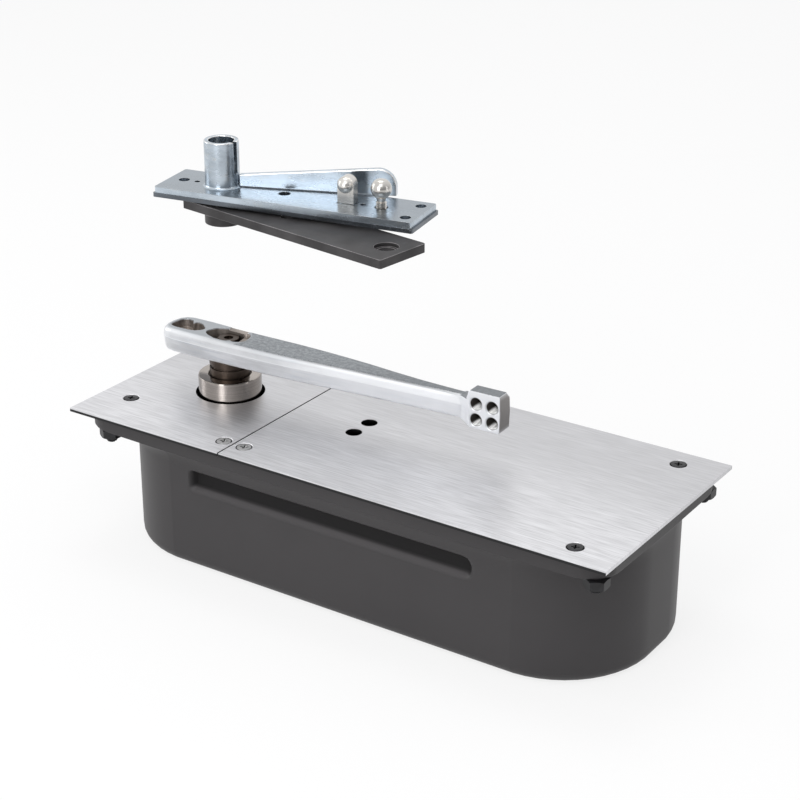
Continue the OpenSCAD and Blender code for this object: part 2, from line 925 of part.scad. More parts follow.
module piston() {
    fork_in = cam_half + fork_gap;
    color("#7c8084")
    difference() {
        union() {
            translate([piston_x, 0, bore_z])
                rotate([0, 90, 0])
                    cylinder(r = piston_r, h = piston_l);
            for (z = [bore_z - fork_in - fork_t, bore_z + fork_in])
                translate([roller_x, 0, z]) {
                    cylinder(r = fork_tip_r, h = fork_t);
                    translate([0, -fork_half, 0])
                        cube([piston_x - roller_x + over, 2 * fork_half, fork_t]);
                }
        }
        translate([spring_cup_x, 0, bore_z])
            rotate([0, 90, 0])
                cylinder(r = spring_cup_r, h = piston_l);
        translate([roller_x, 0, 0])
            cylinder(r = roller_pin_r + fit_gap, h = 2 * bore_z);
        translate([piston_x - over, 0, bore_z])
            rotate([0, 90, 0])
                cylinder(r = ball_seat_r, h = piston_l);
        translate([ball_x - check_ball_r, 0, bore_z])
            rotate([0, 90, 0])
                cylinder(r = ball_bore_r, h = piston_l);
        translate([seal_x, 0, bore_z])
            rotate([0, 90, 0])
                seal_groove(piston_r, seal_d);
    }
}

module piston_seal() {
    color("#1a1a1a")
    translate([seal_x - seal_w / 2 + fit_gap, 0, bore_z])
        rotate([0, 90, 0])
            ring(piston_r, piston_r - seal_d + fit_gap, seal_w - 2 * fit_gap);
}

module roller_pin() {
    pin_half = cam_half + fork_gap + fork_t;
    color("#9b9ea1")
    translate([roller_x, 0, bore_z - pin_half])
        cylinder(r = roller_pin_r, h = 2 * pin_half);
}

module cam_roller() {
    color("#a9acaf")
    translate([roller_x, 0, bore_z - roller_half])
        ring(roller_r, roller_pin_r + fit_gap, 2 * roller_half);
}

module check_ball() {
    color("#b5b8bb")
    translate([ball_x + face_gap, 0, bore_z])
        sphere(check_ball_r);
}

module check_plug() {
    color("#7c8084")
    translate([spring_cup_x - plug_l, 0, bore_z])
        rotate([0, 90, 0])
            ring(ball_bore_r - fit_gap, ball_seat_r / 2, plug_l);
}

// Through holes of the frame plate, which the backing plate repeats
module frame_holes() {
    translate([hole_back_x, 0])
        circle(hole_back_r);
    translate([hole_small_back_x, 0])
        circle(hole_small_r);
    translate([hole_mid_x, 0])
        circle(hole_mid_r);
    translate([hole_small_x, 0])
        circle(hole_small_r);
    for (s = [-1, 1])
        translate([frame_front - end_hole_inset, s * end_hole_y])
            circle(end_hole_r);
    circle(housing_bore);
    translate([adjust_x, 0])
        circle(adjust_r + fit_gap);
    translate([post_x, 0])
        circle(post_tenon_r + fit_gap);
}

module pivot_frame_plate() {
    color("#a9b6c4")
    translate([0, 0, frame_z])
        rotate([0, 0, frame_turn])
            linear_extrude(frame_t)
                difference() {
                    rounded_rect(-frame_back, frame_front, frame_w / 2, frame_corner);
                    frame_holes();
                }
}

module pivot_backing_plate() {
    color("#75808c")
    translate([0, 0, backing_z])
        rotate([0, 0, frame_turn])
            linear_extrude(backing_t)
                difference() {
                    rounded_rect(-frame_back - backing_side, frame_front + backing_side,
                        frame_w / 2 + backing_side / 2, frame_corner);
                    frame_holes();
                }
}

module pin_housing() {
    color("#a9b6c4")
    translate([0, 0, frame_top])
        difference() {
            ring(housing_r, housing_bore, housing_h);
            rotate([0, 0, slot_turn])
                translate([0, -slot_half, slot_rise])
                    cube([housing_r + over, 2 * slot_half, housing_h]);
        }
}

module fulcrum_post() {
    color("#b9b6b2")
    rotate([0, 0, frame_turn])
        translate([post_x, 0, 0]) {
            translate([-post_w / 2, -post_t / 2, frame_top])
                cube([post_w, post_t, post_rise]);
            translate([0, -post_t / 2, frame_top + post_rise])
                rotate([-90, 0, 0])
                    cylinder(r = post_w / 2, h = post_t);
            translate([0, post_ball_in - post_t / 2, frame_top + post_rise])
                sphere(post_ball_r);
            translate([0, 0, frame_z])
                cylinder(r = post_tenon_r, h = frame_t + over);
        }
}

module pivot_washer() {
    color("#8d949b")
    translate([0, 0, backing_z - washer_t])
        ring(washer_r, housing_bore + face_gap, washer_t);
}

module pivot_pin() {
    color("#b3b7ba")
    translate([0, 0, pin_z])
        cylinder(r = pin_r, h = pin_l);
}

module adjusting_screw() {
    thread_z = backing_z + face_gap;
    color("#8d8a86")
    rotate([0, 0, frame_turn])
        translate([adjust_x, 0, 0]) {
            translate([0, 0, thread_z])
                cylinder(r = adjust_r, h = frame_top + adjust_step - thread_z);
            translate([0, 0, frame_top])
                cylinder(r = adjust_neck_r, h = ball_rise);
            translate([0, 0, frame_top + ball_rise])
                sphere(ball_r);
        }
}

module walking_beam() {
    color("#a9b6c4")
    rotate([0, 0, frame_turn + beam_turn])
        translate([beam_start, beam_t / 2, frame_top + beam_lift])
            rotate([90, 0, 0])
                linear_extrude(beam_t) {
                    polygon([[0, 0], [beam_l, 0], [beam_l, beam_h - beam_round],
                        [beam_l - beam_round, beam_h], [0, beam_low]]);
                    intersection() {
                        translate([beam_l - beam_round, beam_h - beam_round])
                            circle(beam_round);
                        translate([beam_l - beam_round, 0])
                            square([beam_round, beam_h]);
                    }
                }
}

module door_pivot_plate() {
    color("#3a3a3c")
    rotate([0, 0, door_turn])
        difference() {
            union() {
                translate([0, 0, door_z])
                    linear_extrude(door_t)
                        rounded_rect(-door_back, door_l, frame_w / 2, door_corner);
                translate([0, 0, door_z - boss_h])
                    cylinder(r = boss_r, h = boss_h + over);
            }
            translate([0, 0, door_z - boss_h + boss_floor])
                cylinder(r = housing_bore + bush_wall, h = boss_h + door_t);
            translate([door_l - door_hole_inset, 0, door_z - over]) {
                cylinder(r = door_hole_r, h = door_t + 2 * over);
                translate([0, 0, over + door_bore])
                    cylinder(r = door_sink_r, h = door_sink_h + over);
            }
            translate([door_mid_x, 0, door_z - over])
                cylinder(r = door_mid_r, h = door_t + 2 * over);
        }
}

module pivot_bush() {
    color("#b08d57")
    translate([0, 0, door_z - boss_h + boss_floor])
        ring(housing_bore + bush_wall - fit_gap, housing_bore, boss_h - boss_floor + door_t);
}

cement_case();
main_cover();
spindle_cover();
cover_bridge();
cover_screws();
levelling_screws();
levelling_nuts();
closer_body();
body_screws();
spring_end_cap();
end_cap_seal();
upper_bearing();
lower_bearing();
spindle_seal();
filler_plug();
closing_valve();
latch_valve();
main_spring();
spindle();
spindle_collar();
cam();
cam_key();
door_arm();
arm_screw();
piston();
piston_seal();
roller_pin();
cam_roller();
check_ball();
check_plug();
pivot_frame_plate();
pivot_backing_plate();
pin_housing();
fulcrum_post();
pivot_washer();
pivot_pin();
adjusting_screw();
walking_beam();
door_pivot_plate();
pivot_bush();
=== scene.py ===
"""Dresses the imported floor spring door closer: its pressed case, brushed covers, forged
arm and the top pivot set, each with a finish of its own, on a pale studio floor."""

import json
import math
from types import SimpleNamespace

import bmesh
import bpy
from mathutils import Matrix, Vector


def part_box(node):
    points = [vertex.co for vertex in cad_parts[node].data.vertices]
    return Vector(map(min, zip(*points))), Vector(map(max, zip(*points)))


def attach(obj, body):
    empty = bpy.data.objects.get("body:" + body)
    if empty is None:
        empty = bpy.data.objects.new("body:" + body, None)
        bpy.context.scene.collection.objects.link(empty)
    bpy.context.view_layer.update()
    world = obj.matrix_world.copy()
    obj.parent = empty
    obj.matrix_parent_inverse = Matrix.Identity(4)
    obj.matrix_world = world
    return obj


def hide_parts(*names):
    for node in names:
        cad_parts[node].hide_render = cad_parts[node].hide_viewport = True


bl_info = {
    "name": "Floor spring door closer",
    "version": (1, 0, 0),
    "blender": (4, 5, 0),
    "location": "View3D > Sidebar > Closer",
    "description": "Builds the visible pieces and finishes of a floor spring door closer",
    "category": "Object",
}

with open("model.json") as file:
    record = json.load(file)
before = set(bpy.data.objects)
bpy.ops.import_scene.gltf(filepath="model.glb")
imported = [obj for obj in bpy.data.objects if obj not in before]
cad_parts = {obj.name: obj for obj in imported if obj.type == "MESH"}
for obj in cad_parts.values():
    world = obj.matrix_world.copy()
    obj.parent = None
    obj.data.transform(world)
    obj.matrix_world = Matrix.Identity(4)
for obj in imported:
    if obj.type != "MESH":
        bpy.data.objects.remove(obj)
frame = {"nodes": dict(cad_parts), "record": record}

MM = 0.001
COVER_LOW, COVER_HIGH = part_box("main_cover")
SPINDLE_COVER_LOW, SPINDLE_COVER_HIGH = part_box("spindle_cover")
COVER_SPLIT = (COVER_LOW.x + SPINDLE_COVER_HIGH.x) / 2
CASE_LOW, CASE_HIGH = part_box("cement_case")
COLLAR_LOW, COLLAR_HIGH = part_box("spindle_collar")
ARM_LOW, ARM_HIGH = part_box("door_arm")
SCREW_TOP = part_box("cover_screws")[1].z
FRAME_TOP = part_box("pivot_frame_plate")[1].z
HOUSING_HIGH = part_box("pin_housing")[1]
BLOCK_RISE = 5.6 * MM
ARM_TOP = ARM_HIGH.z - BLOCK_RISE

# The photograph's view, and the soft boxes: name, place, width, height and power
VIEW = SimpleNamespace(azimuth=33.8937, elevation=23.9562, lens=88.53,
                       place=(0.59893, -0.73271, 0.48701), middle=(0.08, 0, 0.09))
LAMPS = [("key", (-0.22, 0.32, 1.40), 0.6, 0.6, 3.4),
         ("strip_left", (0.16, -1.19, 0.50), 0.34, 0.9, 5.0),
         ("strip_right", (1.22, 0.20, 0.42), 0.2, 0.8, 0.8),
         ("strip_end", (-1.15, -0.29, 0.38), 0.4, 0.8, 2.6),
         ("overhead", (0.45, -0.75, 1.25), 0.7, 0.7, 3.0)]


# Sizes and colours that a user would change


def length(name, description, default):
    """Property for a length, whose default is given in millimetres."""
    return bpy.props.FloatProperty(name=name, description=description,
                                   default=default * MM, unit="LENGTH", precision=5)


def degrees(name, description, default):
    """Property for an angle."""
    return bpy.props.FloatProperty(name=name, description=description,
                                   default=math.radians(default), unit="ROTATION")


def colour(name, description, default):
    """Property for a finish's main colour."""
    return bpy.props.FloatVectorProperty(name=name, description=description, min=0, max=1,
                                         default=default, subtype="COLOR", size=3)


class CloserSizes(bpy.types.PropertyGroup):
    """Sizes of the closer's visible pieces"""

    wall: length("Case wall", "Thickness of the pressed case", 3)
    case_radius: length("Case corner", "Plan radius of the case corners", 50)
    case_edge: length("Case lower edge", "Rounding of the case's lower edge", 6)
    rim_height: length("Rim height", "Height of the case's rim", 7.8)
    rim_side: length("Rim side", "How far the rim stands out at the long sides", 3)
    rim_back: length("Rim back", "How far the rim stands out at the spindle end", 7)
    rim_front: length("Rim front", "How far the rim stands out at the spring end", 0.4)
    rim_radius: length("Rim corner", "Plan radius of the rim corners", 14)
    rim_fillet: length("Rim fillet", "Height of the curve from the wall to the rim", 8)
    groove_start: length("Groove start", "Spindle axis to the pressed groove", 18.5)
    groove_end: length("Groove end", "Spindle axis to the far end of the groove", 184.5)
    groove_z: length("Groove height", "Underside of the case to the groove's middle", 49.5)
    groove_width: length("Groove width", "Height of the groove on the wall", 12)
    groove_depth: length("Groove depth", "Depth of the pressed groove", 4.2)
    cover_edge: length("Cover edge", "Rounding of the cover plates' edges", 0.25)
    arm_turn: degrees("Arm turn", "Turn of the closed arm from the case's long axis", 1.9)
    arm_edge: length("Arm edge", "Rounding of the forged arm's edges", 2.0)
    frame_turn: degrees("Frame turn", "Turn of the frame plate from the long axis", 10)


class CloserColours(bpy.types.PropertyGroup):
    """Main colours of the closer's finishes"""

    case_paint: colour("Case paint", "Charcoal paint of the case", (0.041, 0.0385, 0.040))
    cover: colour("Covers", "Brushed cover plates", (0.69, 0.69, 0.71))
    arm_side: colour("Arm sides", "Satin sides of the forged arm", (0.66, 0.67, 0.69))
    arm_top: colour("Arm top", "Grainy top face of the forged arm", (0.30, 0.32, 0.34))
    arm_pocket: colour("Arm pockets", "Brown skin inside the arm's pockets",
                       (0.30, 0.265, 0.24))
    collar: colour("Collar", "Turned collar on the spindle", (0.39, 0.355, 0.325))
    neck: colour("Spindle", "Dark neck of the spindle", (0.075, 0.058, 0.048))
    zinc: colour("Zinc", "Blue passivated zinc of the top pivot", (0.47, 0.53, 0.59))
    backing: colour("Backing plate", "Darker zinc of the backing plate", (0.14, 0.155, 0.175))
    bright: colour("Bright steel", "Nickel of the post and the ball head",
                   (0.66, 0.64, 0.61))
    door_plate: colour("Door plate", "Phosphated plate on the door", (0.042, 0.040, 0.041))
    floor: colour("Floor", "Plain studio floor", (0.92, 0.92, 0.92))


# Finishes


def math_step(operation, reflected=False):
    """Operator of a field that adds one Math node."""
    def method(self, other):
        return self.step(operation, *((other, self) if reflected else (self, other)))
    return method


class Field:
    """Output of a node that takes part in plain arithmetic, a Math node for each step."""

    def __init__(self, finish, socket):
        self.finish = finish
        self.socket = socket

    def step(self, operation, *values):
        return self.finish.node("ShaderNodeMath", {"operation": operation}, values)

    def __abs__(self):
        return self.step("ABSOLUTE", self)

    __add__, __radd__ = math_step("ADD"), math_step("ADD", True)
    __sub__, __rsub__ = math_step("SUBTRACT"), math_step("SUBTRACT", True)
    __mul__, __rmul__ = math_step("MULTIPLY"), math_step("MULTIPLY", True)
    __pow__, __gt__ = math_step("POWER"), math_step("GREATER_THAN")


class Finish:
    """Node tree of a finish or of the surroundings, with the method that adds nodes."""

    def __init__(self, holder):
        holder.use_nodes = True
        self.holder = holder
        self.tree = holder.node_tree
        self.tree.nodes.clear()

    def node(self, kind, settings=None, values=(), output=0):
        """Add a node: its settings first, then the value or link of each socket."""
        node = self.tree.nodes.new(kind)
        for key, value in (settings or {}).items():
            setattr(node, key, value)
        for key, value in values.items() if isinstance(values, dict) else enumerate(values):
            if isinstance(value, Field):
                self.tree.links.new(value.socket, node.inputs[key])
            else:
                node.inputs[key].default_value = value
        return Field(self, node.outputs[output]) if node.outputs else None

    def mapped(self, kind, turn, scale):
        """Object coordinates, turned about Z and scaled by one kind of mapping."""
        place = self.node("ShaderNodeTexCoord", output="Object")
        return self.node("ShaderNodeMapping", {"vector_type": kind},
                         {"Vector": place, "Rotation": (0, 0, turn), "Scale": scale})

    def turned_place(self, turn):
        """Object coordinates turned about Z, as X, Y and Z in millimetres."""
        place = self.mapped("POINT", turn, [1 / MM] * 3)
        return [self.node("ShaderNodeSeparateXYZ", values=[place], output=k)
                for k in range(3)]

    def noise(self, scale, detail=3, turn=0.0, rough=0.55):
        """Noise from 0 to 1 with so many features to the metre along each turned axis."""
        scale = scale if isinstance(scale, tuple) else (scale,) * 3
        place = self.mapped("TEXTURE", turn, [1 / s for s in scale])
        return self.node("ShaderNodeTexNoise", {"noise_dimensions": "3D"},
                         {"Vector": place, "Scale": 1.0, "Detail": detail,
                          "Roughness": rough})

    def band(self, value, low, high, start=0.0, end=1.0):
        """Value taken smoothly from start to end as it goes from low to high."""
        return self.node("ShaderNodeMapRange", {"interpolation_type": "SMOOTHSTEP"},
                         (value, low, high, start, end))

    def within(self, value, rise, fall):
        """1 between two soft steps, each given by its start and its end."""
        return self.band(value, *rise) * (1 - self.band(value, *fall))

    def mix(self, share, first, second):
        """Colour between two, by share."""
        tints = [t if isinstance(t, Field) else (*t, 1) for t in (first, second)]
        return self.node("ShaderNodeMix", {"data_type": "RGBA"},
                         {0: share, 6: tints[0], 7: tints[1]}, output=2)

    def mask(self, name="worn"):
        """Mask that a mesh carries, such as the edges that bevelling has marked as worn, which
        in some finishes also carry a painted edge highlight.
        """
        return self.node("ShaderNodeAttribute", {"attribute_name": name}, output="Fac")

    def shades(self, field, tint, dark, light, low=0.3, high=0.7):
        """Shades of a colour, from dark to light as a field goes from low to high."""
        return self.mix(self.band(field, low, high), shade(tint, dark), shade(tint, light))

    def over(self, tone, field, low, high, share, tint):
        """Colour laid over a tone, by up to share where a field is high."""
        return self.mix(self.band(field, low, high, 0, share), tone, tint)

    def wear_and_edge_sheen(self, tone, share, tint):
        """Colour laid over a tone on the worn edges: wear, and in some finishes also a painted
        edge highlight.
        """
        return self.mix(self.mask() * share, tone, tint)

    def bump(self, height, depth, strength=1.0):
        """Normal disturbed by a height field of so many millimetres."""
        return self.node("ShaderNodeBump", {},
                         {"Strength": strength, "Distance": depth * MM, "Height": height})

    def ray(self, kind):
        """1 for rays of one kind."""
        return self.node("ShaderNodeLightPath", output=f"Is {kind} Ray")

    def surface(self, **values):
        """Principled surface, joined to the material's output."""
        names = {"colour": "Base Color", "rough": "Roughness", "metal": "Metallic",
                 "normal": "Normal", "gloss": "Specular IOR Level",
                 "brushed": "Anisotropic", "brushed_turn": "Anisotropic Rotation"}
        named = {names[key]: value for key, value in values.items()}
        shader = self.node("ShaderNodeBsdfPrincipled", {}, named)
        self.node("ShaderNodeOutputMaterial", {}, {"Surface": shader})
        return self.holder


def new_finish(slot):
    """Finish of a new material, named after its slot."""
    return Finish(bpy.data.materials.new(slot + "_finish"))


def shade(tint, factor):
    """Colour made lighter or darker by a factor."""
    return tuple(min(1.0, c * factor) for c in tint)


def case_paint_finish(paint):
    """Satin charcoal paint with a fine orange peel and a faint dusty cloud, with painted shade
    in the pressed groove and a painted highlight on its lower lip.
    """
    f = new_finish("case_paint")
    cloud = f.noise((14, 14, 20), 2)
    speck = f.noise(2600, 2)
    recess = f.mask("recess")
    tone = f.shades(cloud, paint, 0.94, 1.06)
    tone = f.over(tone, speck, 0.62, 0.8, 0.25, shade(paint, 1.5))
    # Painted shade: the recess mask darkens the groove's upper flank and floor, standing in for
    # the shade under the rim and the upper lip.
    tone = f.mix(recess * 0.95, tone, shade(paint, 0.2))
    # Painted highlight: the lip mask lightens the groove's lower flank, which faces up to the
    # light.
    tone = f.mix(f.mask("lip") * 0.7, tone, shade(paint, 2.4))
    peel = f.noise(900, 2)
    return f.surface(colour=tone, rough=0.40 + cloud * 0.10 + recess * 0.4, gloss=0.28,
                     normal=f.bump(peel, 0.03, 0.35))


def brushed_cover_finish(sheet):
    """Stainless sheet brushed along its length, darker towards the back as painted shade, with
    near black long edges and gap walls as painted shade for the shadow line under the plate and
    the dark gaps.
    """
    f = new_finish("brushed_cover")
    fine = f.noise((90, 2400, 90))
    stroke = f.noise((55, 1000, 55))
    wide = f.noise((14, 170, 14), 2)
    tone = f.shades(stroke, sheet, 0.82, 1.12)
    tone = f.over(tone, fine, 0.38, 0.62, 0.4, shade(sheet, 1.16))
    tone = f.over(tone, wide, 0.3, 0.7, 0.35, shade(sheet, 0.86))
    # Worn edges lightened: partly wear, partly a painted highlight such as the bright ring
    # round each countersink.
    tone = f.wear_and_edge_sheen(tone, 0.6, shade(sheet, 1.3))
    x, y, z = f.turned_place(0)
    # Painted shade: the sheet grows darker towards the back, standing in for the shade and
    # dimmer reflection under the arm.
    tone = f.over(tone, y, -45, 40, 0.45, shade(sheet, 0.62))
    back, front, side, top = (v / MM for v in (SPINDLE_COVER_LOW.x, COVER_HIGH.x,
                                               COVER_HIGH.y, COVER_HIGH.z))
    # Painted shade: the lower part of the long edges and the walls of the split, holes and
    # countersinks are painted near black, standing in for the shadow line under the plate and
    # the shaded gaps.
    painted_edge_shade = f.band(abs(y), side - 0.3, side - 0.1) * (1 - f.band(z, top - 0.75, top - 0.5))
    half = (front - back) / 2
    painted_gap_shade = (1 - f.band(z, top - 0.4, top - 0.2)) * (
        1 - f.band(abs(x - (front + back) / 2), half - 0.7, half - 0.3)) * (
        1 - f.band(abs(y), side - 0.9, side - 0.6))
    tone = f.mix(painted_edge_shade + painted_gap_shade, tone, shade(sheet, 0.05))
    return f.surface(colour=tone, rough=f.band(stroke, 0.2, 0.8, 0.38, 0.47), metal=1.0,
                     normal=f.bump(fine + stroke, 0.02, 0.35))


def plain_steel_finish(name, tint, rough, grain=900):
    """Steel with a cloudy surface and fine grain."""
    f = new_finish(name)
    cloud = f.noise(60)
    fine = f.noise(grain)
    tone = f.shades(cloud, tint, 0.85, 1.12)
    tone = f.wear_and_edge_sheen(tone, 0.7, shade(tint, 1.6))
    return f.surface(colour=tone, rough=rough + cloud * 0.12, metal=1.0,
                     normal=f.bump(fine, 0.02, 0.4))


def turned_finish(name, tint, rough, brushed=0.0):
    """Turned metal with fine tool rings across its axis."""
    f = new_finish(name)
    ring = f.noise((30, 30, 2600), 2)
    cloud = f.noise((90, 90, 60))
    tone = f.shades(ring, tint, 0.88, 1.08)
    tone = f.over(tone, cloud, 0.35, 0.7, 0.3, shade(tint, 0.82))
    tone = f.wear_and_edge_sheen(tone, 0.8, shade(tint, 1.5))
    return f.surface(colour=tone, rough=rough + ring * 0.1, metal=1.0, brushed=brushed,
                     brushed_turn=0.25, normal=f.bump(ring, 0.02, 0.3))


def matt_finish(name, tint, rough):
    """Dull black rubber or oxide with a faint bloom."""
    f = new_finish(name)
    bloom = f.noise(160)
    tone = f.shades(bloom, tint, 1, 2.2, 0.35, 0.75)
    return f.surface(colour=tone, rough=rough + bloom * 0.15, gloss=0.3,
                     normal=f.bump(f.noise(1500, 2), 0.02, 0.4))


def casting_finish(name, tint):
    """Sand cast iron with a rough skin."""
    f = new_finish(name)
    sand = f.noise(1100, 4, rough=0.7)
    cloud = f.noise(40)
    tone = f.shades(cloud, tint, 0.8, 1.2)
    return f.surface(colour=tone, rough=0.55 + sand * 0.2, metal=0.75,
                     normal=f.bump(sand, 0.08, 0.6))


def forged_arm_finish(tints, turn):
    """Forged arm: satin sides, grainy grey top, brown pockets and bright worn edges that are
    partly a painted highlight, with painted shade on the block's end face and in the tapped
    holes.
    """
    f = new_finish("cast_arm")
    top = ARM_TOP / MM
    satin, grey, brown = tints.arm_side, tints.arm_top, tints.arm_pocket
    x, y, z = f.turned_place(-turn)
    blast = f.noise(1700, 4, rough=0.65)
    grain = f.noise(520, 5, rough=0.7)
    cloud = f.noise((45, 130, 130), 3, turn)
    streak = f.noise((24, 240, 420), 4, turn)
    side = f.shades(cloud, satin, 0.88, 1.08, 0.3, 0.72)
    side = f.over(side, grain, 0.52, 0.74, 0.3, shade(satin, 0.82))
    side = f.over(side, streak, 0.48, 0.68, 0.4, (0.42, 0.47, 0.53))
    side = f.mix(f.band(streak, 0.28, 0.42, 0.4, 0), side, shade(satin, 1.3))
    side = f.over(side, x, 20, 90, 0.75, shade(satin, 1.3))
    hub_land = f.band(z, top - 0.25, top - 0.05) * (1 - f.band(x, 13.2, 15))
    side = f.mix(hub_land * 0.85, side, shade(grey, 1.2))
    # Worn edges lightened: partly wear, partly a painted highlight along the rounded top edge.
    side = f.wear_and_edge_sheen(side, 0.75, shade(satin, 1.35))
    skin = f.shades(grain, grey, 0.74, 1.18, 0.36, 0.66)
    skin = f.over(skin, blast, 0.54, 0.7, 0.4, shade(grey, 0.5))
    skin = f.over(skin, x, 70, 140, 0.6, shade(grey, 0.55))
    across = y + 2
    past_pocket = f.band(x + across * across * 0.045, 13.2, 14.0)
    ragged = z + (blast - 0.5) * 0.5
    on_bar = f.band(ragged, top - 0.3, top - 0.05) * (1 - f.band(x, 145.5, 146.5))
    on_block = f.band(ragged, ARM_HIGH.z / MM - 0.4, ARM_HIGH.z / MM - 0.1)
    tone = f.mix(on_bar * past_pocket + on_block, side, skin)
    bare = 1 - f.mask()
    # Painted shade: the block's end face is painted dark brown, standing in for the shade on
    # the side turned from the light.
    end = f.band(x, BLOCK_END - 0.1, BLOCK_END + 0.1)
    tone = f.mix(end * 0.85 * bare, tone, shade(brown, 0.5))
    front = f.band(x, -13, -12)
    back_pocket = f.band(x, -35.2, -34.6) * f.within(y, (-8.2, -7.7), (6.2, 6.8))
    front_pocket = (1 - f.band(x, 14.2, 14.8)) * f.within(y, (-10.4, -9.9), (8.6, 9.4))
    inside = f.within(z, (94.4, 95.0), (top - 0.7, top - 0.3)) * (
        back_pocket * (1 - front) + front_pocket * front)
    tone = f.mix(inside * bare, tone, f.shades(cloud, brown, 0.55, 1.3))
    # Painted light and shade in the tapped holes: the bore is painted near black as shade, and
    # only its lit lower right wall near the mouth shows bright crests as painted highlights
    # between dark roots.
    along, up = abs(abs(x - HOLES.x) - HOLES.along), abs(abs(z - HOLES.z) - HOLES.up)
    away = (along * along + up * up) ** 0.5
    bore = (1 - f.band(away, 3.4, 3.5)) * f.within(y, (-7.6, -7.3), (2.0, 2.3))
    rise = (z - HOLES.z) - ((z > HOLES.z) * 2 - 1) * HOLES.up
    aside = (x - HOLES.x) - ((x > HOLES.x) * 2 - 1) * HOLES.along
    lit = f.band(aside * 0.5 - rise, 0.4, 2.0) * (1 - f.band(y, -3.0, 1.0))
    dark = shade(brown, 0.12)
    painted_crest_highlight = f.mix(f.band(away, 2.85, 3.05), shade(satin, 1.5), dark)
    tone = f.mix(bore, tone, f.mix(lit, dark, painted_crest_highlight))
    return f.surface(colour=tone, rough=0.34 + grain * 0.14, metal=0.85,
                     normal=f.bump(grain + blast * 0.5, 0.06, 0.5))


def zinc_finish(name, tint, turn):
    """Zinc plate with a blue cast, cloudy stains and worn pale edges."""
    f = new_finish(name)
    cloud = f.noise((40, 110, 110), 4, turn, rough=0.6)
    stain = f.noise((120, 260, 260), 5, turn, rough=0.7)
    fleck = f.noise((500, 900, 900), 3, turn)
    warm = (tint[0] * 1.2, tint[1] * 1.05, tint[2] * 0.85)
    pale = tuple(min(1, c * k) for c, k in zip(tint, (1.7, 1.5, 1.35)))
    tone = f.shades(cloud, tint, 0.76, 1.14, 0.32, 0.68)
    tone = f.over(tone, stain, 0.52, 0.75, 0.45, warm)
    tone = f.mix(f.band(stain, 0.25, 0.42, 0.4, 0), tone, shade(tint, 0.55))
    tone = f.over(tone, fleck, 0.6, 0.75, 0.25, shade(tint, 1.3))
    z, top = f.turned_place(0)[2], FRAME_TOP / MM
    plate = f.within(z, (top - 0.3, top - 0.1), (top + 0.05, top + 0.15))
    tone = f.mix(plate * 0.8, tone, shade(tint, 0.6))
    tone = f.wear_and_edge_sheen(tone, f.band(fleck, 0.3, 0.55, 0.3, 0.9), pale)
    return f.surface(colour=tone, rough=f.band(cloud, 0.25, 0.8, 0.22, 0.34), metal=1.0,
                     normal=f.bump(stain, 0.02, 0.25))


def phosphate_finish(name, tint):
    """Near black phosphated steel with a soft sheen and bright edges, partly rubbed wear and
    partly a painted edge highlight.
    """
    f = new_finish(name)
    cloud = f.noise(60)
    fine = f.noise(1300)
    tone = f.shades(cloud, tint, 0.8, 1.4)
    # Worn edges lightened nine times: partly rubbed wear, partly a painted highlight along the
    # plate's rims.
    tone = f.wear_and_edge_sheen(tone, f.band(cloud, 0.3, 0.6, 0.4, 0.9), shade(tint, 9.0))
    return f.surface(colour=tone, rough=0.38 + cloud * 0.12, metal=0.2, gloss=0.25,
                     normal=f.bump(fine, 0.02, 0.4))


def make_finishes(tints, sizes):
    """One finish for each material slot of the record."""
    case_paint_finish(tints.case_paint)
    brushed_cover_finish(tints.cover)
    forged_arm_finish(tints, sizes.arm_turn)
    plain_steel_finish("dark_steel", (0.045, 0.045, 0.048), 0.28)
    plain_steel_finish("screw_steel", (0.40, 0.40, 0.40), 0.3)
    plain_steel_finish("machined_steel", (0.45, 0.46, 0.48), 0.28)
    plain_steel_finish("spring_steel", (0.28, 0.29, 0.31), 0.35)
    matt_finish("black_oxide", (0.012, 0.012, 0.013), 0.35)
    matt_finish("seal_rubber", (0.015, 0.015, 0.015), 0.6)
    casting_finish("cast_body", (0.16, 0.17, 0.18))
    turned_finish("bronze", (0.52, 0.33, 0.15), 0.35)
    turned_finish("valve_brass", (0.60, 0.44, 0.19), 0.28)
    turned_finish("spindle_steel", tints.neck, 0.34)
    turned_finish("collar_steel", tints.collar, 0.09, brushed=0.2)
    plain_steel_finish("bright_steel", tints.bright, 0.2, 500)
    zinc_finish("zinc_plate", tints.zinc, sizes.frame_turn)
    zinc_finish("zinc_backing", tints.backing, sizes.frame_turn)
    phosphate_finish("black_plate", tints.door_plate)


def finish_of(slot):
    """The finish made for a slot."""
    return bpy.data.materials[slot + "_finish"]


# Ways of making a mesh


def face_outwards(bm):
    """Make every face point outwards."""
    bmesh.ops.recalc_face_normals(bm, faces=bm.faces)


def merge_close(bm, gap=0.001):
    """Merge vertices that lie closer than a gap in millimetres."""
    bmesh.ops.remove_doubles(bm, verts=bm.verts, dist=gap * MM)


def mesh_of(bm, name):
    """Mesh of a bmesh, which is used up."""
    mesh = bpy.data.meshes.new(name)
    bm.to_mesh(mesh)
    bm.free()
    return mesh


def shown(data):
    """Object of a mesh, lamp or camera, put in the scene."""
    thing = bpy.data.objects.new(data.name, data)
    bpy.context.scene.collection.objects.link(thing)
    return thing


def add_piece(bm, name, body, slot, node, smooth=32):
    """Turn a bmesh into a finished piece that rides on a body in place of a node."""
    limit = math.radians(smooth)
    for edge in bm.edges:
        edge.smooth = edge.calc_face_angle(0) < limit
    for face in bm.faces:
        face.smooth = True
    piece = shown(mesh_of(bm, name))
    piece.data.materials.append(finish_of(slot))
    piece.modifiers.new("even_normals", "WEIGHTED_NORMAL").keep_sharp = True
    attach(piece, body)
    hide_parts(node)


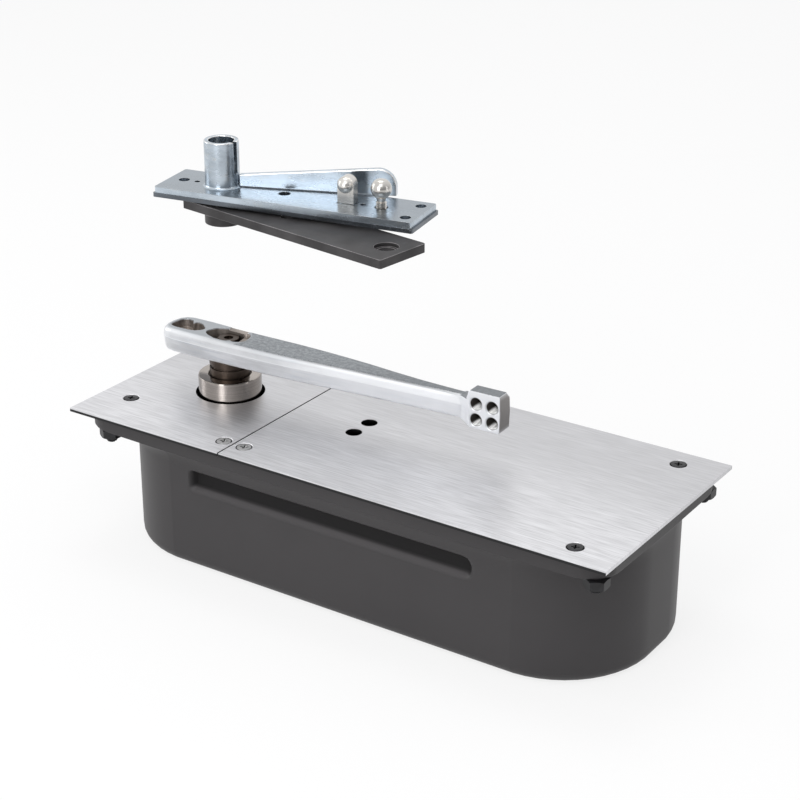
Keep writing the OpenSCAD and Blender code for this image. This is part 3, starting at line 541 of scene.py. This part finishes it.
def merged_copy(node):
    """Bmesh of a node's solids with their loose triangles joined into flat faces."""
    bm = bmesh.new()
    bm.from_mesh(frame["nodes"][node].data)
    merge_close(bm)
    bmesh.ops.dissolve_limit(bm, angle_limit=math.radians(0.5), verts=bm.verts,
                             edges=bm.edges)
    return bm


def bevelled(bm, geom, width, segments, affect="EDGES"):
    """Round edges or corners; gives the new faces."""
    return bmesh.ops.bevel(bm, geom=geom, offset=width, offset_type="OFFSET",
                           segments=segments, profile=0.5, affect=affect,
                           clamp_overlap=True, material=-1)["faces"]


def soften(bm, edges, width, segments, mark=1.0):
    """Bevel edges and mark the new faces as worn by so much; the mark also drives painted edge
    highlights in some finishes.
    """
    worn = bm.faces.layers.float.get("worn") or bm.faces.layers.float.new("worn")
    for face in bevelled(bm, edges, width, segments):
        face[worn] = mark


def round_edges(bm, width, segments=2, pick=lambda edge: True):
    """Bevel the sharp edges that pick lets through."""
    limit = math.radians(35)
    sharp = [e for e in bm.edges if len(e.link_faces) == 2
             and e.calc_face_angle(0) > limit and pick(e)]
    soften(bm, sharp, width, segments)
    return bm


def dressed_node(node, body, slot, width, segments=2):
    """A node's own shape with rounded, worn edges."""
    bm = round_edges(merged_copy(node), width, segments)
    add_piece(bm, node + "_finished", body, slot, node)


def ring_edges(bm, verts):
    """Edges from each vertex to the next and from the last to the first."""
    return [bm.edges.new(pair) for pair in zip(verts, verts[1:] + verts[:1])]


def turned(profile, steps, centre=(0, 0, 0), axis=(0, 0, 1)):
    """Spin a closed profile of (radius, height) in millimetres round an axis."""
    bm, axis, centre = bmesh.new(), Vector(axis), Vector(centre)
    verts = [bm.verts.new(centre + Vector((r * MM, 0, 0)) + axis * (h * MM))
             for r, h in profile]
    edges = ring_edges(bm, verts)
    if profile[0][0] == 0 and profile[-1][0] == 0:
        bm.edges.remove(edges.pop())
    bmesh.ops.spin(bm, geom=verts + edges, cent=centre, axis=axis,
                   angle=math.radians(360), steps=steps, use_merge=True)
    merge_close(bm)
    face_outwards(bm)
    return bm


def turn_flat(bm, angle, verts=None):
    """Turn a shape, or some of its vertices, about the spindle's axis."""
    bmesh.ops.rotate(bm, verts=verts or bm.verts, cent=(0, 0, 0),
                     matrix=Matrix.Rotation(angle, 3, "Z"))


def rounded_loop(bm, low, high, half, radius, z):
    """Edges of a rectangle with round corners and finely cut long sides."""
    before = set(bm.edges)
    turn = math.radians(45) / CORNER_STEPS
    verts = bmesh.ops.create_circle(bm, cap_ends=False, segments=4 * CORNER_STEPS,
                                    radius=radius / math.cos(turn))["verts"]
    turn_flat(bm, turn, verts)
    for vert in verts:
        vert.co.x += high - radius if vert.co.x > 0 else low + radius
        vert.co.y += math.copysign(half - radius, vert.co.y)
        vert.co.z = z
    middle = (low + high) / 2
    sides = [e for e in bm.edges if e not in before
             and (e.verts[0].co.x - middle) * (e.verts[1].co.x - middle) < 0]
    bmesh.ops.subdivide_edges(bm, edges=sides, cuts=SIDE_CUTS)
    return [e for e in bm.edges if e not in before]


def box(low, high, turn=0.0, centre=(0, 0, 0)):
    """Box between two corners in millimetres, turned flat and put at centre."""
    low, high = Vector(low) * MM, Vector(high) * MM
    bm = bmesh.new()
    bmesh.ops.create_cube(bm, size=1)
    bmesh.ops.scale(bm, vec=high - low, verts=bm.verts)
    bmesh.ops.translate(bm, vec=(low + high) / 2, verts=bm.verts)
    turn_flat(bm, turn)
    bmesh.ops.translate(bm, vec=centre, verts=bm.verts)
    return bm


def tool(bm):
    """Object that holds a cutting shape for a while."""
    face_outwards(bm)
    return shown(mesh_of(bm, "tool"))


def shaped(bm, parts, operation="DIFFERENCE"):
    """Bmesh of a shape after each part has been cut out of it, or joined to it."""
    body, *tools = (tool(part) for part in (bm, *parts))
    for part in tools:
        step = body.modifiers.new("shape", "BOOLEAN")
        step.operation, step.solver, step.object = operation, "EXACT", part
    graph = bpy.context.evaluated_depsgraph_get()
    result = bmesh.new()
    result.from_mesh(body.evaluated_get(graph).to_mesh())
    for part in [body, *tools]:
        mesh = part.data
        bpy.data.objects.remove(part)
        bpy.data.meshes.remove(mesh)
    merge_close(result, 0.0001)
    return result


def join(bm, part):
    """Add one finished solid to a piece."""
    mesh = mesh_of(part, "part")
    bm.from_mesh(mesh)
    bpy.data.meshes.remove(mesh)


def smoothstep(low, high, value):
    """0 below low, 1 above high and a soft step between."""
    t = min(1.0, max(0.0, (value - low) / (high - low)))
    return t * t * (3 - 2 * t)


# Pieces of the floor case. Its rings have corners of so many steps and long sides with so
# many cuts, and lie close together from a height on, for the pressed groove.

CORNER_STEPS, SIDE_CUTS, CLOSE_RINGS = 12, 210, 36 * MM


def groove_depth(sizes, x, z):
    """How far the pressed groove takes the wall in at a place on a long side."""
    half = sizes.groove_width / 2
    rise = z - sizes.groove_z
    upper = 1 - smoothstep(half - 1.8 * MM, half + 0.3 * MM, rise)
    lower = smoothstep(-half - 0.4 * MM, -half + 4.6 * MM, rise)
    near = smoothstep(-1.2 * MM, 1.8 * MM, x - sizes.groove_start)
    round_end = x - sizes.groove_end + 3 * MM * (rise / half) ** 2
    far = 1 - smoothstep(-3.0 * MM, 0.6 * MM, round_end)
    return sizes.groove_depth * upper * lower * near * far


def case_levels(sizes):
    """Outlines of the case, up its outside from the floor and down its inside."""
    low, high = CASE_LOW.x + sizes.rim_back, CASE_HIGH.x - sizes.rim_front
    half = CASE_HIGH.y - sizes.rim_side
    top, rim = CASE_HIGH.z, CASE_HIGH.z - sizes.rim_height
    edge, radius = sizes.case_edge, sizes.case_radius
    levels = []

    def wall_ring(inset, z):
        """Add an outline of the wall, taken in by inset."""
        levels.append((low + inset, high - inset, half - inset, radius - inset, z))

    for k in range(7):
        a = math.radians(15 * k)
        wall_ring(edge * (1 - math.sin(a)), edge * (1 - math.cos(a)))
    for z in range(12, 36, 8):
        wall_ring(0, z * MM)
    start, step = rim - sizes.rim_fillet, 0.8 * MM
    z = CLOSE_RINGS
    while z < start:
        wall_ring(0, z)
        z += step
    for k in range(17):
        a = math.radians(5.625 * k)
        out = 1 - math.cos(a)
        levels.append((low - sizes.rim_side * out, high + sizes.rim_front * out,
                       half + sizes.rim_side * out, radius + sizes.rim_front * out,
                       start + (sizes.rim_fillet - 0.4 * MM) * math.sin(a)))
    foot, crown = 1.2 * MM, 0.7 * MM
    for inset, z in ((foot, rim), (foot * 0.3, rim + foot * 0.3), (0, rim + foot)):
        levels.append((CASE_LOW.x + inset, CASE_HIGH.x, CASE_HIGH.y,
                       sizes.rim_radius + 2.4 * inset, z))
    for inset, z in ((0, top - crown), (crown * 0.3, top - crown * 0.3), (crown, top)):
        levels.append((CASE_LOW.x + inset, CASE_HIGH.x - inset, CASE_HIGH.y - inset,
                       sizes.rim_radius - inset, z))
    wall = sizes.wall
    wall_ring(wall, top)
    z = start + 3 * step
    while z > CLOSE_RINGS:
        wall_ring(wall, z)
        z -= 2 * step
    for z in (28 * MM, 16 * MM, 2 * wall):
        wall_ring(wall, z)
    for k in range(1, 5):
        a = math.radians(22.5 * k)
        wall_ring(wall * (2 - math.cos(a)), wall * (2 - math.sin(a)))
    return levels


def build_case(sizes):
    """Pressed case: rings bridged from floor to rim and back, with the groove pressed in and
    masks for its painted shade and painted highlight.
    """
    bm = bmesh.new()
    rings = [rounded_loop(bm, *level) for level in case_levels(sizes)]
    for lower, upper in zip(rings, rings[1:]):
        bmesh.ops.bridge_loops(bm, edges=lower + upper)
    for ring in (rings[0], rings[-1]):
        bmesh.ops.edgeloop_fill(bm, edges=ring)
    # Masks for painted light: recess marks painted shade in the groove's upper part and floor,
    # lip a painted highlight on its lower flank.
    recess = bm.verts.layers.float.new("recess")
    lip = bm.verts.layers.float.new("lip")
    for vert in bm.verts:
        if abs(vert.co.y) > CASE_HIGH.y - 3 * sizes.rim_side and vert.co.z > 30 * MM:
            depth = groove_depth(sizes, vert.co.x, vert.co.z)
            vert.co.y -= math.copysign(depth, vert.co.y)
            share = depth / sizes.groove_depth
            floor = smoothstep(-4.4 * MM, -2.6 * MM, vert.co.z - sizes.groove_z)
            vert[recess] = min(1, 1.5 * share) * floor
            vert[lip] = 4 * share * (1 - share) * (1 - floor)
    face_outwards(bm)
    return bm


# Pieces of the arm, in millimetres along and across it

ARM_OUTLINE = [(-28.5, -11.6), (-18, -11.9), (-4, -12.1), (11, -12.0), (28, -11.5),
               (46, -10.8), (67, -9.2), (80, -8.1), (108, -6.5), (129, -5.2), (145, -4.6),
               (145, 2.3), (130, 2.8), (117, 3.4), (100, 4.9), (84, 6.7), (71, 7.7),
               (57, 8.6), (41, 9.2), (25, 9.3), (13, 9.3), (-4.7, 10.0), (-17, 10.6),
               (-28.5, 10.6), (-33.2, 9.0), (-36.2, 5.4), (-37.3, 0.5), (-37.3, -4.2),
               (-36.0, -8.2), (-32.9, -10.6)]
RIDGE_Z = 101.1
BAR_LOW = ARM_LOW.z + 1.5 * MM
HOLES = SimpleNamespace(x=156.3, z=100.7, along=4.4, up=4.1)
BLOCK_END = 164.7

# Sections of the end block: place, front, back, underside, top and chamfer of the back
BLOCK_SECTIONS = [(133, -3.4, 1.2, 95.6, 104.4, 0.8), (142.3, -4.75, 2.4, 93.9, 106.05, 0.8),
                  (146.3, -6.8, 2.5, 92.9, 106.8, 0.9), (147.3, -7.5, 2.5, 92.5, 110.3, 2.2),
                  (148.8, -8.0, 2.5, 92.0, 111.6, 3.4), (164.3, -8.0, 2.5, 92.0, 111.6, 3.4)]
BACK_POCKET = [(-34.2, -3.6), (-33.0, -6.0), (-29.8, -7.0), (-21.2, -6.9), (-17.0, -6.0),
               (-13.9, -2.6), (-14.2, -0.4), (-18.8, 3.7), (-22.6, 4.8), (-24.4, 2.2),
               (-26.3, 5.4), (-30.2, 5.7), (-33.2, 3.8)]
FRONT_POCKET = [(-11.8, -4.4), (-8.5, -7.0), (-2.5, -9.2), (4.0, -9.3), (8.4, -5.6), (7.6, 5.0),
                (2.0, 5.6), (-5.4, 5.5), (-9.9, 3.0), (-12.2, -1.8)]
POCKET_SHELF = [(3.0, -4.5), (7.5, -8.4), (11.2, -7.4), (14.0, -4.6), (13.0, 2.0), (9.8, 6.2),
                (7.5, 6.4), (3.0, 3.0)]
BACK_RECESS = [(-3.0, 2.5), (7.0, 2.5), (10.5, 12.5), (-6.0, 12.5)]

# Places in millimetres: the screws, and the post and the ball along the frame plate
SPLIT_SCREWS = [(x, y) for x in (35.9, 48.5) for y in (-50.7, 50.7)]
CORNER_SCREWS = [(-36.8, -36.3), (-36.8, 36.3), (234.2, -50.7), (234.2, 50.7)]
LEVELLING = [(x, y) for x in (-36, 247) for y in (-53.5, 53.5)]
POST_X, ADJUSTER_X = 69, 87


def extruded(bm, face):
    """Vertices of a copy of a face that walls join to it."""
    made = bmesh.ops.extrude_face_region(bm, geom=[face], use_keep_orig=True)
    return [v for v in made["geom"] if isinstance(v, bmesh.types.BMVert)]


def flat_face(bm, points, z):
    """Flat face through points in millimetres at a height in millimetres."""
    return bm.faces.new([bm.verts.new((x * MM, y * MM, z * MM)) for x, y in points])


def build_bar(sizes):
    """Forged bar, drafted up and down from its parting ridge, with rounded edges."""
    bm = bmesh.new()
    face = flat_face(bm, ARM_OUTLINE, RIDGE_Z)
    for z, draft in ((ARM_TOP, 0.6 * MM), (BAR_LOW, 0.8 * MM)):
        for vert in extruded(bm, face):
            end = max(0.0, (-30 * MM - vert.co.x) / (7.5 * MM))
            vert.co.x += draft * end
            vert.co.y -= math.copysign(draft * (1 - 0.6 * end), vert.co.y)
            vert.co.z = z
    bm.faces.remove(face)
    face_outwards(bm)

    for z, width, segments, mark in ((ARM_TOP, sizes.arm_edge, 5, 0.3),
                                     (BAR_LOW, sizes.arm_edge * 0.6, 3, 0.5),
                                     (RIDGE_Z * MM, 0.22 * MM, 1, 0.8)):
        level = [e for e in bm.edges
                 if all(abs(v.co.z - z) < 0.01 * MM for v in e.verts)]
        soften(bm, level, width, segments, mark)
    return bm


def block_ring(bm, x, front, back, low, high, chamfer, bulge=0.0):
    """One section of the block; bulge pushes the parting ridge along the arm."""
    spots = [(x, front, low), (x + bulge, front, RIDGE_Z), (x, front, high),
             (x, back - chamfer, high), (x, back, high - chamfer), (x + bulge, back, RIDGE_Z),
             (x, back, low)]
    verts = [bm.verts.new([v * MM for v in spot]) for spot in spots]
    return verts, ring_edges(bm, verts)


def build_block():
    """Block at the arm's tip, which flares out of the bar and has a ridge on its end."""
    bm = bmesh.new()
    rings = [block_ring(bm, *section) for section in BLOCK_SECTIONS]
    rings.append(block_ring(bm, BLOCK_END, -7.9, 2.4, 92.1, 111.5, 3.4, 0.35))
    for (_, lower), (_, upper) in zip(rings, rings[1:]):
        bmesh.ops.bridge_loops(bm, edges=lower + upper)
    bm.faces.new(rings[0][0])
    end = rings[-1][0]
    bm.faces.new(end[1:6])
    bm.faces.new([end[0], end[1], end[5], end[6]])
    face_outwards(bm)
    sharp = [e for e in bm.edges if e.calc_face_angle(0) > math.radians(30)
             and min(v.co.x for v in e.verts) > 146 * MM]
    soften(bm, sharp, 0.55 * MM, 3, 0.7)
    return bm


def pocket_cutter(points, floor, corner=1.6, draft=0.9):
    """Cutter of a pocket whose walls lean out and whose floor meets them in a curve."""
    bm = bmesh.new()
    face = flat_face(bm, points, ARM_TOP / MM + 1)
    bevelled(bm, list(bm.verts), corner * MM, 4, "VERTICES")
    face = bm.faces[:][0]
    centre = face.calc_center_median()
    for vert in extruded(bm, face):
        vert.co += (centre - vert.co) * (draft * MM / (vert.co - centre).length)
        vert.co.z = floor * MM
    face_outwards(bm)
    bottom = [e for e in bm.edges if all(v.co.z < (floor + 0.1) * MM for v in e.verts)]
    bevelled(bm, bottom, 0.9 * MM, 3)
    return bm


def thread(low, high, pitch, root, crest, rises):
    """Profile of thread turns, each with its root, crest and root at three rises."""
    turns = []
    while low < high:
        turns += [(r, low + rise) for r, rise in zip((root, crest, root), rises)]
        low += pitch
    return turns


def thread_cutter(x, z):
    """Tapping cutter along Y with a countersunk mouth and thread ridges."""
    front, back, root = -8.0, 2.5, 3.3
    profile = [(0, front - 1), (4.6, front - 1), (3.65, front), (root, front + 0.4),
               *thread(front + 0.45, back - 1.5, 1.2, root, 2.7, (0.05, 0.5, 1.0)),
               (root, back - 0.5), (3.7, back), (4.2, back + 0.5), (0, back + 0.5)]
    return turned(profile, 40, (x * MM, 0, z * MM), (0, 1, 0))


def build_door_arm(sizes):
    """The whole forged arm, turned to its closed place."""
    top = ARM_TOP / MM
    floor = top - 5.5
    whole = shaped(build_bar(sizes), [build_block()], "UNION")
    square = box((-6.5, -6.5, ARM_LOW.z / MM), (6.5, 6.5, floor + 1))
    cutters = [pocket_cutter(BACK_POCKET, top - 4.4), pocket_cutter(FRONT_POCKET, floor),
               pocket_cutter(POCKET_SHELF, top - 2.4), square,
               pocket_cutter(BACK_RECESS, top - 0.9, 1.2, 0.2)]
    cutters += [thread_cutter(HOLES.x + HOLES.along * sx, HOLES.z + HOLES.up * sz)
                for sx in (-1, 1) for sz in (-1, 1)]
    arm = shaped(whole, cutters)
    mouths = [e for e in arm.edges if e.calc_face_angle(0) > math.radians(50)
              and all(v.co.z > ARM_TOP - 0.03 * MM and v.co.x < 16 * MM for v in e.verts)]
    soften(arm, mouths, 0.45 * MM, 2)
    turn_flat(arm, sizes.arm_turn)
    return arm


# Operators, one for each piece or group of like pieces


class CLOSER_OT_stage(bpy.types.Operator):
    """Make the camera, the soft lights, the pale surroundings and the floor"""

    bl_idname = "closer.stage"
    bl_label = "Stage"

    def execute(self, context):
        scene = context.scene
        scene.view_settings.view_transform = "Standard"
        azimuth, elevation = math.radians(VIEW.azimuth), math.radians(VIEW.elevation)
        back = Vector((math.sin(azimuth) * math.cos(elevation),
                       -math.cos(azimuth) * math.cos(elevation), math.sin(elevation)))
        left = Vector((-math.cos(azimuth), -math.sin(azimuth), 0))
        lens = bpy.data.cameras.new("camera")
        lens.lens, lens.sensor_width, lens.clip_end = VIEW.lens, 36, 20
        scene.camera = self.aimed(lens, VIEW.place, -back)
        for name, place, width, height, power in LAMPS:
            light = bpy.data.lights.new(name, "AREA")
            light.shape = "RECTANGLE"
            light.size, light.size_y, light.energy = width, height, power
            self.aimed(light, place, Vector(VIEW.middle) - Vector(place))
        self.surroundings(scene, back, left)
        self.floor((*scene.closer_colours.floor, 1))
        return {"FINISHED"}

    def aimed(self, data, place, direction):
        """Camera or lamp at a place, looking in a direction."""
        thing = shown(data)
        thing.location = place
        thing.rotation_mode = "QUATERNION"
        thing.rotation_quaternion = direction.to_track_quat("-Z", "Y")
        return thing

    def surroundings(self, scene, back, left):
        """White to the camera, and a studio brighter behind, above and on the left."""
        f = Finish(bpy.data.worlds.new("studio"))
        scene.world = f.holder
        toward = Vector((-back.x, -back.y, 0)) * 0.62 + left * 0.42 + Vector((0, 0, 0.5))
        facing = f.node("ShaderNodeVectorMath", {"operation": "DOT_PRODUCT"},
                        {0: f.node("ShaderNodeTexCoord", output="Generated"), 1: toward},
                        "Value")
        bright = f.band(facing, -0.75, 0.6)
        tone = f.mix(bright, (0.26, 0.26, 0.265), (0.80, 0.80, 0.81))
        soft = f.node("ShaderNodeBackground", {}, {"Color": tone})
        white = f.node("ShaderNodeBackground", {}, {"Color": (1, 1, 1, 1)})
        shiny = f.ray("Glossy") + f.ray("Transmission")
        share = f.ray("Camera") + shiny * bright
        mixed = f.node("ShaderNodeMixShader", {}, {0: share, 1: soft, 2: white})
        f.node("ShaderNodeOutputWorld", {}, {"Surface": mixed})

    def floor(self, tint):
        """Round floor that is nearly white to the camera but keeps the soft shadow."""
        bm = bmesh.new()
        bmesh.ops.create_circle(bm, cap_ends=True, segments=96, radius=4)
        bmesh.ops.translate(bm, vec=(0.1, 0, CASE_LOW.z - 0.02 * MM), verts=bm.verts)
        floor = shown(mesh_of(bm, "floor"))
        f = new_finish("floor")
        matt = f.node("ShaderNodeBsdfDiffuse", {}, {"Color": tint})
        glow = f.node("ShaderNodeEmission", {}, {"Color": (1, 1, 1, 1), "Strength": 1.0})
        seen = f.ray("Camera") + f.ray("Glossy") + f.ray("Transmission")
        mixed = f.node("ShaderNodeMixShader", {}, {0: seen * 0.8, 1: matt, 2: glow})
        f.node("ShaderNodeOutputMaterial", {}, {"Surface": mixed})
        floor.data.materials.append(f.holder)


class CLOSER_OT_finishes(bpy.types.Operator):
    """Make every finish and put it on the nodes that keep their own shape"""

    bl_idname = "closer.finishes"
    bl_label = "Finishes"

    def execute(self, context):
        scene = context.scene
        tints = {key: tuple(getattr(scene.closer_colours, key))
                 for key in CloserColours.__annotations__}
        make_finishes(SimpleNamespace(**tints), scene.closer_sizes)
        slots = {part["node"]: part["material_slot"] for part in frame["record"]["subparts"]}
        for name, node in frame["nodes"].items():
            holder = node.material_slots[0]
            holder.link = "OBJECT"
            holder.material = finish_of(slots[name])
        return {"FINISHED"}


class CLOSER_OT_case(bpy.types.Operator):
    """Make the pressed floor case"""

    bl_idname = "closer.case"
    bl_label = "Floor case"

    def execute(self, context):
        bm = build_case(context.scene.closer_sizes)
        add_piece(bm, "floor_case", "closer", "case_paint", "cement_case")
        return {"FINISHED"}


class CLOSER_OT_covers(bpy.types.Operator):
    """Make the two brushed cover plates, with crisp edges at a wider split"""

    bl_idname = "closer.covers"
    bl_label = "Covers"

    def execute(self, context):
        edge = context.scene.closer_sizes.cover_edge
        for node in ("main_cover", "spindle_cover"):
            bm = merged_copy(node)
            for vert in bm.verts:
                if abs(vert.co.x - COVER_SPLIT) < MM:
                    vert.co.x += math.copysign(0.15 * MM, vert.co.x - COVER_SPLIT)
            round_edges(bm, edge, pick=lambda e: abs(e.verts[0].co.x - COVER_SPLIT) > MM)
            add_piece(bm, node + "_finished", "closer", "brushed_cover", node)
        return {"FINISHED"}


class CLOSER_OT_cover_screws(bpy.types.Operator):
    """Make the countersunk cover screws with their cross recesses"""

    bl_idname = "closer.cover_screws"
    bl_label = "Cover screws"

    def execute(self, context):
        for name, slot, places in (("split_screws", "screw_steel", SPLIT_SCREWS),
                                   ("corner_screws", "dark_steel", CORNER_SCREWS)):
            bm = bmesh.new()
            for x, y in places:
                join(bm, self.screw((x * MM, y * MM, SCREW_TOP)))
            add_piece(bm, name, "closer", slot, "cover_screws")
        return {"FINISHED"}

    def screw(self, place):
        """One screw with a cross recess and a head a little smaller than its seat."""
        blank = turned([(0, -9.0), (2.2, -9.0), (2.5, -8.6), (2.5, -2.05), (3.6, -0.95),
                        (3.75, -0.6), (3.6, -0.15), (3.2, -0.02), (0, 0)], 48, place)
        cone = turned([(0, -1.6), (1.25, 0.2), (1.25, 1), (0, 1)], 24, place)
        turn = 0.35
        cross = [box((-1.9, -0.42, -1.3), (1.9, 0.42, 1), a, place)
                 for a in (turn, turn + math.pi / 2)]
        return shaped(blank, [*cross, cone])


class CLOSER_OT_spindle(bpy.types.Operator):
    """Make the turned collar and the dark spindle"""

    bl_idname = "closer.spindle"
    bl_label = "Spindle"

    def execute(self, context):
        low, high, outer = COLLAR_LOW.z / MM, COLLAR_HIGH.z / MM, COLLAR_HIGH.x / MM
        bore, soft, lip = 11.05, 0.9, 0.4
        collar = turned([(bore, low), (outer - soft, low), (outer, low + soft),
                         (outer, high - soft), (outer - 0.3 * soft, high - 0.3 * soft),
                         (outer - soft, high), (bore + lip, high), (bore, high - lip)], 128)
        add_piece(collar, "turned_collar", "arm", "collar_steel", "spindle_collar")
        dressed_node("spindle", "arm", "spindle_steel", 0.25 * MM)
        dressed_node("arm_screw", "arm", "spindle_steel", 0.3 * MM)
        return {"FINISHED"}


class CLOSER_OT_arm(bpy.types.Operator):
    """Make the forged door arm"""

    bl_idname = "closer.arm"
    bl_label = "Door arm"

    def execute(self, context):
        bm = build_door_arm(context.scene.closer_sizes)
        add_piece(bm, "forged_arm", "arm", "cast_arm", "door_arm", smooth=38)
        return {"FINISHED"}


class CLOSER_OT_top_pivot(bpy.types.Operator):
    """Make the frame plates, the pin housing, the post and the walking beam"""

    bl_idname = "closer.top_pivot"
    bl_label = "Top pivot"

    def execute(self, context):
        turn, top = context.scene.closer_sizes.frame_turn, FRAME_TOP / MM
        gap = box((POST_X - 4.9, -3.1, top - 0.8), (POST_X + 4.9, 3.1, top + 1), turn)
        plate = round_edges(merged_copy("pivot_frame_plate"), 0.5 * MM)
        add_piece(shaped(plate, [gap]), "pivot_frame_plate_finished", "closer",
                  "zinc_plate", "pivot_frame_plate")
        dressed_node("pivot_backing_plate", "closer", "zinc_backing", 0.3 * MM)
        rims, outer = HOUSING_HIGH.z - 0.01 * MM, HOUSING_HIGH.x / MM
        housing = round_edges(merged_copy("pin_housing"), 1.0 * MM, 3,
                              lambda e: min(v.co.z for v in e.verts) > rims)
        foot = [(outer - 0.8, 0), (outer + 1.3, 0), (outer + 0.5, 0.25), (outer + 0.1, 0.7),
                (outer - 0.1, 1.5), (outer - 0.8, 1.5)]
        join(housing, turned(foot, 96, (0, 0, FRAME_TOP)))
        merge_close(housing)
        add_piece(housing, "pin_housing_finished", "closer", "zinc_plate", "pin_housing")
        dressed_node("fulcrum_post", "closer", "bright_steel", 0.5 * MM)
        dressed_node("walking_beam", "beam", "zinc_plate", 0.6 * MM, 3)
        dressed_node("pivot_pin", "pin", "bright_steel", 0.8 * MM)
        return {"FINISHED"}


class CLOSER_OT_adjusting_screw(bpy.types.Operator):
    """Make the ball headed adjusting screw with its thread"""

    bl_idname = "closer.adjusting_screw"
    bl_label = "Adjusting screw"

    def execute(self, context):
        turn = context.scene.closer_sizes.frame_turn
        place = Vector((math.cos(turn), math.sin(turn), 0)) * ADJUSTER_X * MM
        low, neck, root, crest, ball_z, ball_r = 181.0, 189.2, 2.0, 2.8, 195.4, 5.15
        profile = [(0, low), (root, low),
                   *thread(low + 0.2, neck, 1.15, root, crest, (0, 0.5, 1.0))]
        for k in range(2, 25):
            a = math.radians(-90 + 7.5 * k)
            if ball_r * math.cos(a) > root:
                profile.append((ball_r * math.cos(a), ball_z + ball_r * math.sin(a)))
        bm = turned([*profile, (0, ball_z + ball_r)], 64, place)
        add_piece(bm, "ball_screw", "adjuster", "bright_steel", "adjusting_screw")
        return {"FINISHED"}


class CLOSER_OT_door_side(bpy.types.Operator):
    """Make the dark plate that is fixed to the door"""

    bl_idname = "closer.door_side"
    bl_label = "Door plate"

    def execute(self, context):
        dressed_node("door_pivot_plate", "door_side", "black_plate", 0.6 * MM, 3)
        return {"FINISHED"}


class CLOSER_OT_levelling(bpy.types.Operator):
    """Make the levelling screws and nuts under the rim"""

    bl_idname = "closer.levelling"
    bl_label = "Levelling hardware"

    def execute(self, context):
        rim = (CASE_HIGH.z - context.scene.closer_sizes.rim_height) / MM
        nuts, screws = bmesh.new(), bmesh.new()
        for x, y in LEVELLING:
            join(nuts, self.nut((x * MM, y * MM, 0), rim))
            join(screws, self.screw((x * MM, y * MM, 0), rim))
        for bm, node in ((nuts, "levelling_nuts"), (screws, "levelling_screws")):
            add_piece(bm, node + "_finished", "closer", "black_oxide", node)
        return {"FINISHED"}

    def nut(self, place, rim):
        """Hexagon nut with turned corners, up against the underside of the rim."""
        blank = bmesh.new()
        low, flat, wide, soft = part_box("levelling_nuts")[0].z / MM + 1.2, 5.2, 6.2, 0.6
        bmesh.ops.create_cone(blank, cap_ends=True, segments=6, radius1=wide * MM,
                              radius2=wide * MM, depth=(rim - low) * MM)
        bmesh.ops.translate(blank, vec=Vector(place) + Vector((0, 0, (rim + low) / 2 * MM)),
                            verts=blank.verts)
        wide += 0.05
        cone = turned([(0, low), (flat, low), (wide, low + soft), (wide, rim - soft),
                       (flat, rim), (0, rim)], 48, place)
        return shaped(blank, [cone], "INTERSECT")

    def screw(self, place, rim):
        """Threaded end of a levelling screw with a slot across it."""
        low, high = (corner.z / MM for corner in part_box("levelling_screws"))
        low += 1.6
        turns = thread(low + 0.6, rim, 0.95, 2.65, 3.0, (0, 0.4, 0.8))
        blank = turned([(0, low), (2.3, low), (2.7, low + 0.5), *turns,
                        (2.8, turns[-1][1] + 0.15), (2.8, high), (0, high)], 36, place)
        return shaped(blank, [box((-4, -0.5, low - 1), (4, 0.5, low + 1.2), centre=place)])


class CLOSER_PT_panel(bpy.types.Panel):
    """Panel in the 3D view's sidebar"""

    bl_idname = "CLOSER_PT_panel"
    bl_label = "Floor spring closer"
    bl_space_type = "VIEW_3D"
    bl_region_type = "UI"
    bl_category = "Closer"

    def draw(self, context):
        column = self.layout.column()
        for step in STEPS:
            column.operator(step.bl_idname)
        for group in (context.scene.closer_sizes, context.scene.closer_colours):
            for key in group.__annotations__:
                column.prop(group, key)


STEPS = (CLOSER_OT_stage, CLOSER_OT_finishes, CLOSER_OT_case, CLOSER_OT_covers,
         CLOSER_OT_cover_screws, CLOSER_OT_spindle, CLOSER_OT_arm, CLOSER_OT_top_pivot,
         CLOSER_OT_adjusting_screw, CLOSER_OT_door_side, CLOSER_OT_levelling)
GROUPS = (CloserSizes, CloserColours)


def register():
    for kind in (*GROUPS, *STEPS, CLOSER_PT_panel):
        bpy.utils.register_class(kind)
    bpy.types.Scene.closer_sizes = bpy.props.PointerProperty(type=CloserSizes)
    bpy.types.Scene.closer_colours = bpy.props.PointerProperty(type=CloserColours)


def unregister():
    del bpy.types.Scene.closer_colours
    del bpy.types.Scene.closer_sizes
    for kind in reversed((*GROUPS, *STEPS, CLOSER_PT_panel)):
        bpy.utils.unregister_class(kind)


def main():
    register()
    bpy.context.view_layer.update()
    for step in STEPS:
        getattr(bpy.ops.closer, step.bl_idname.split(".")[1])()


if __name__ == "__main__":
    main()
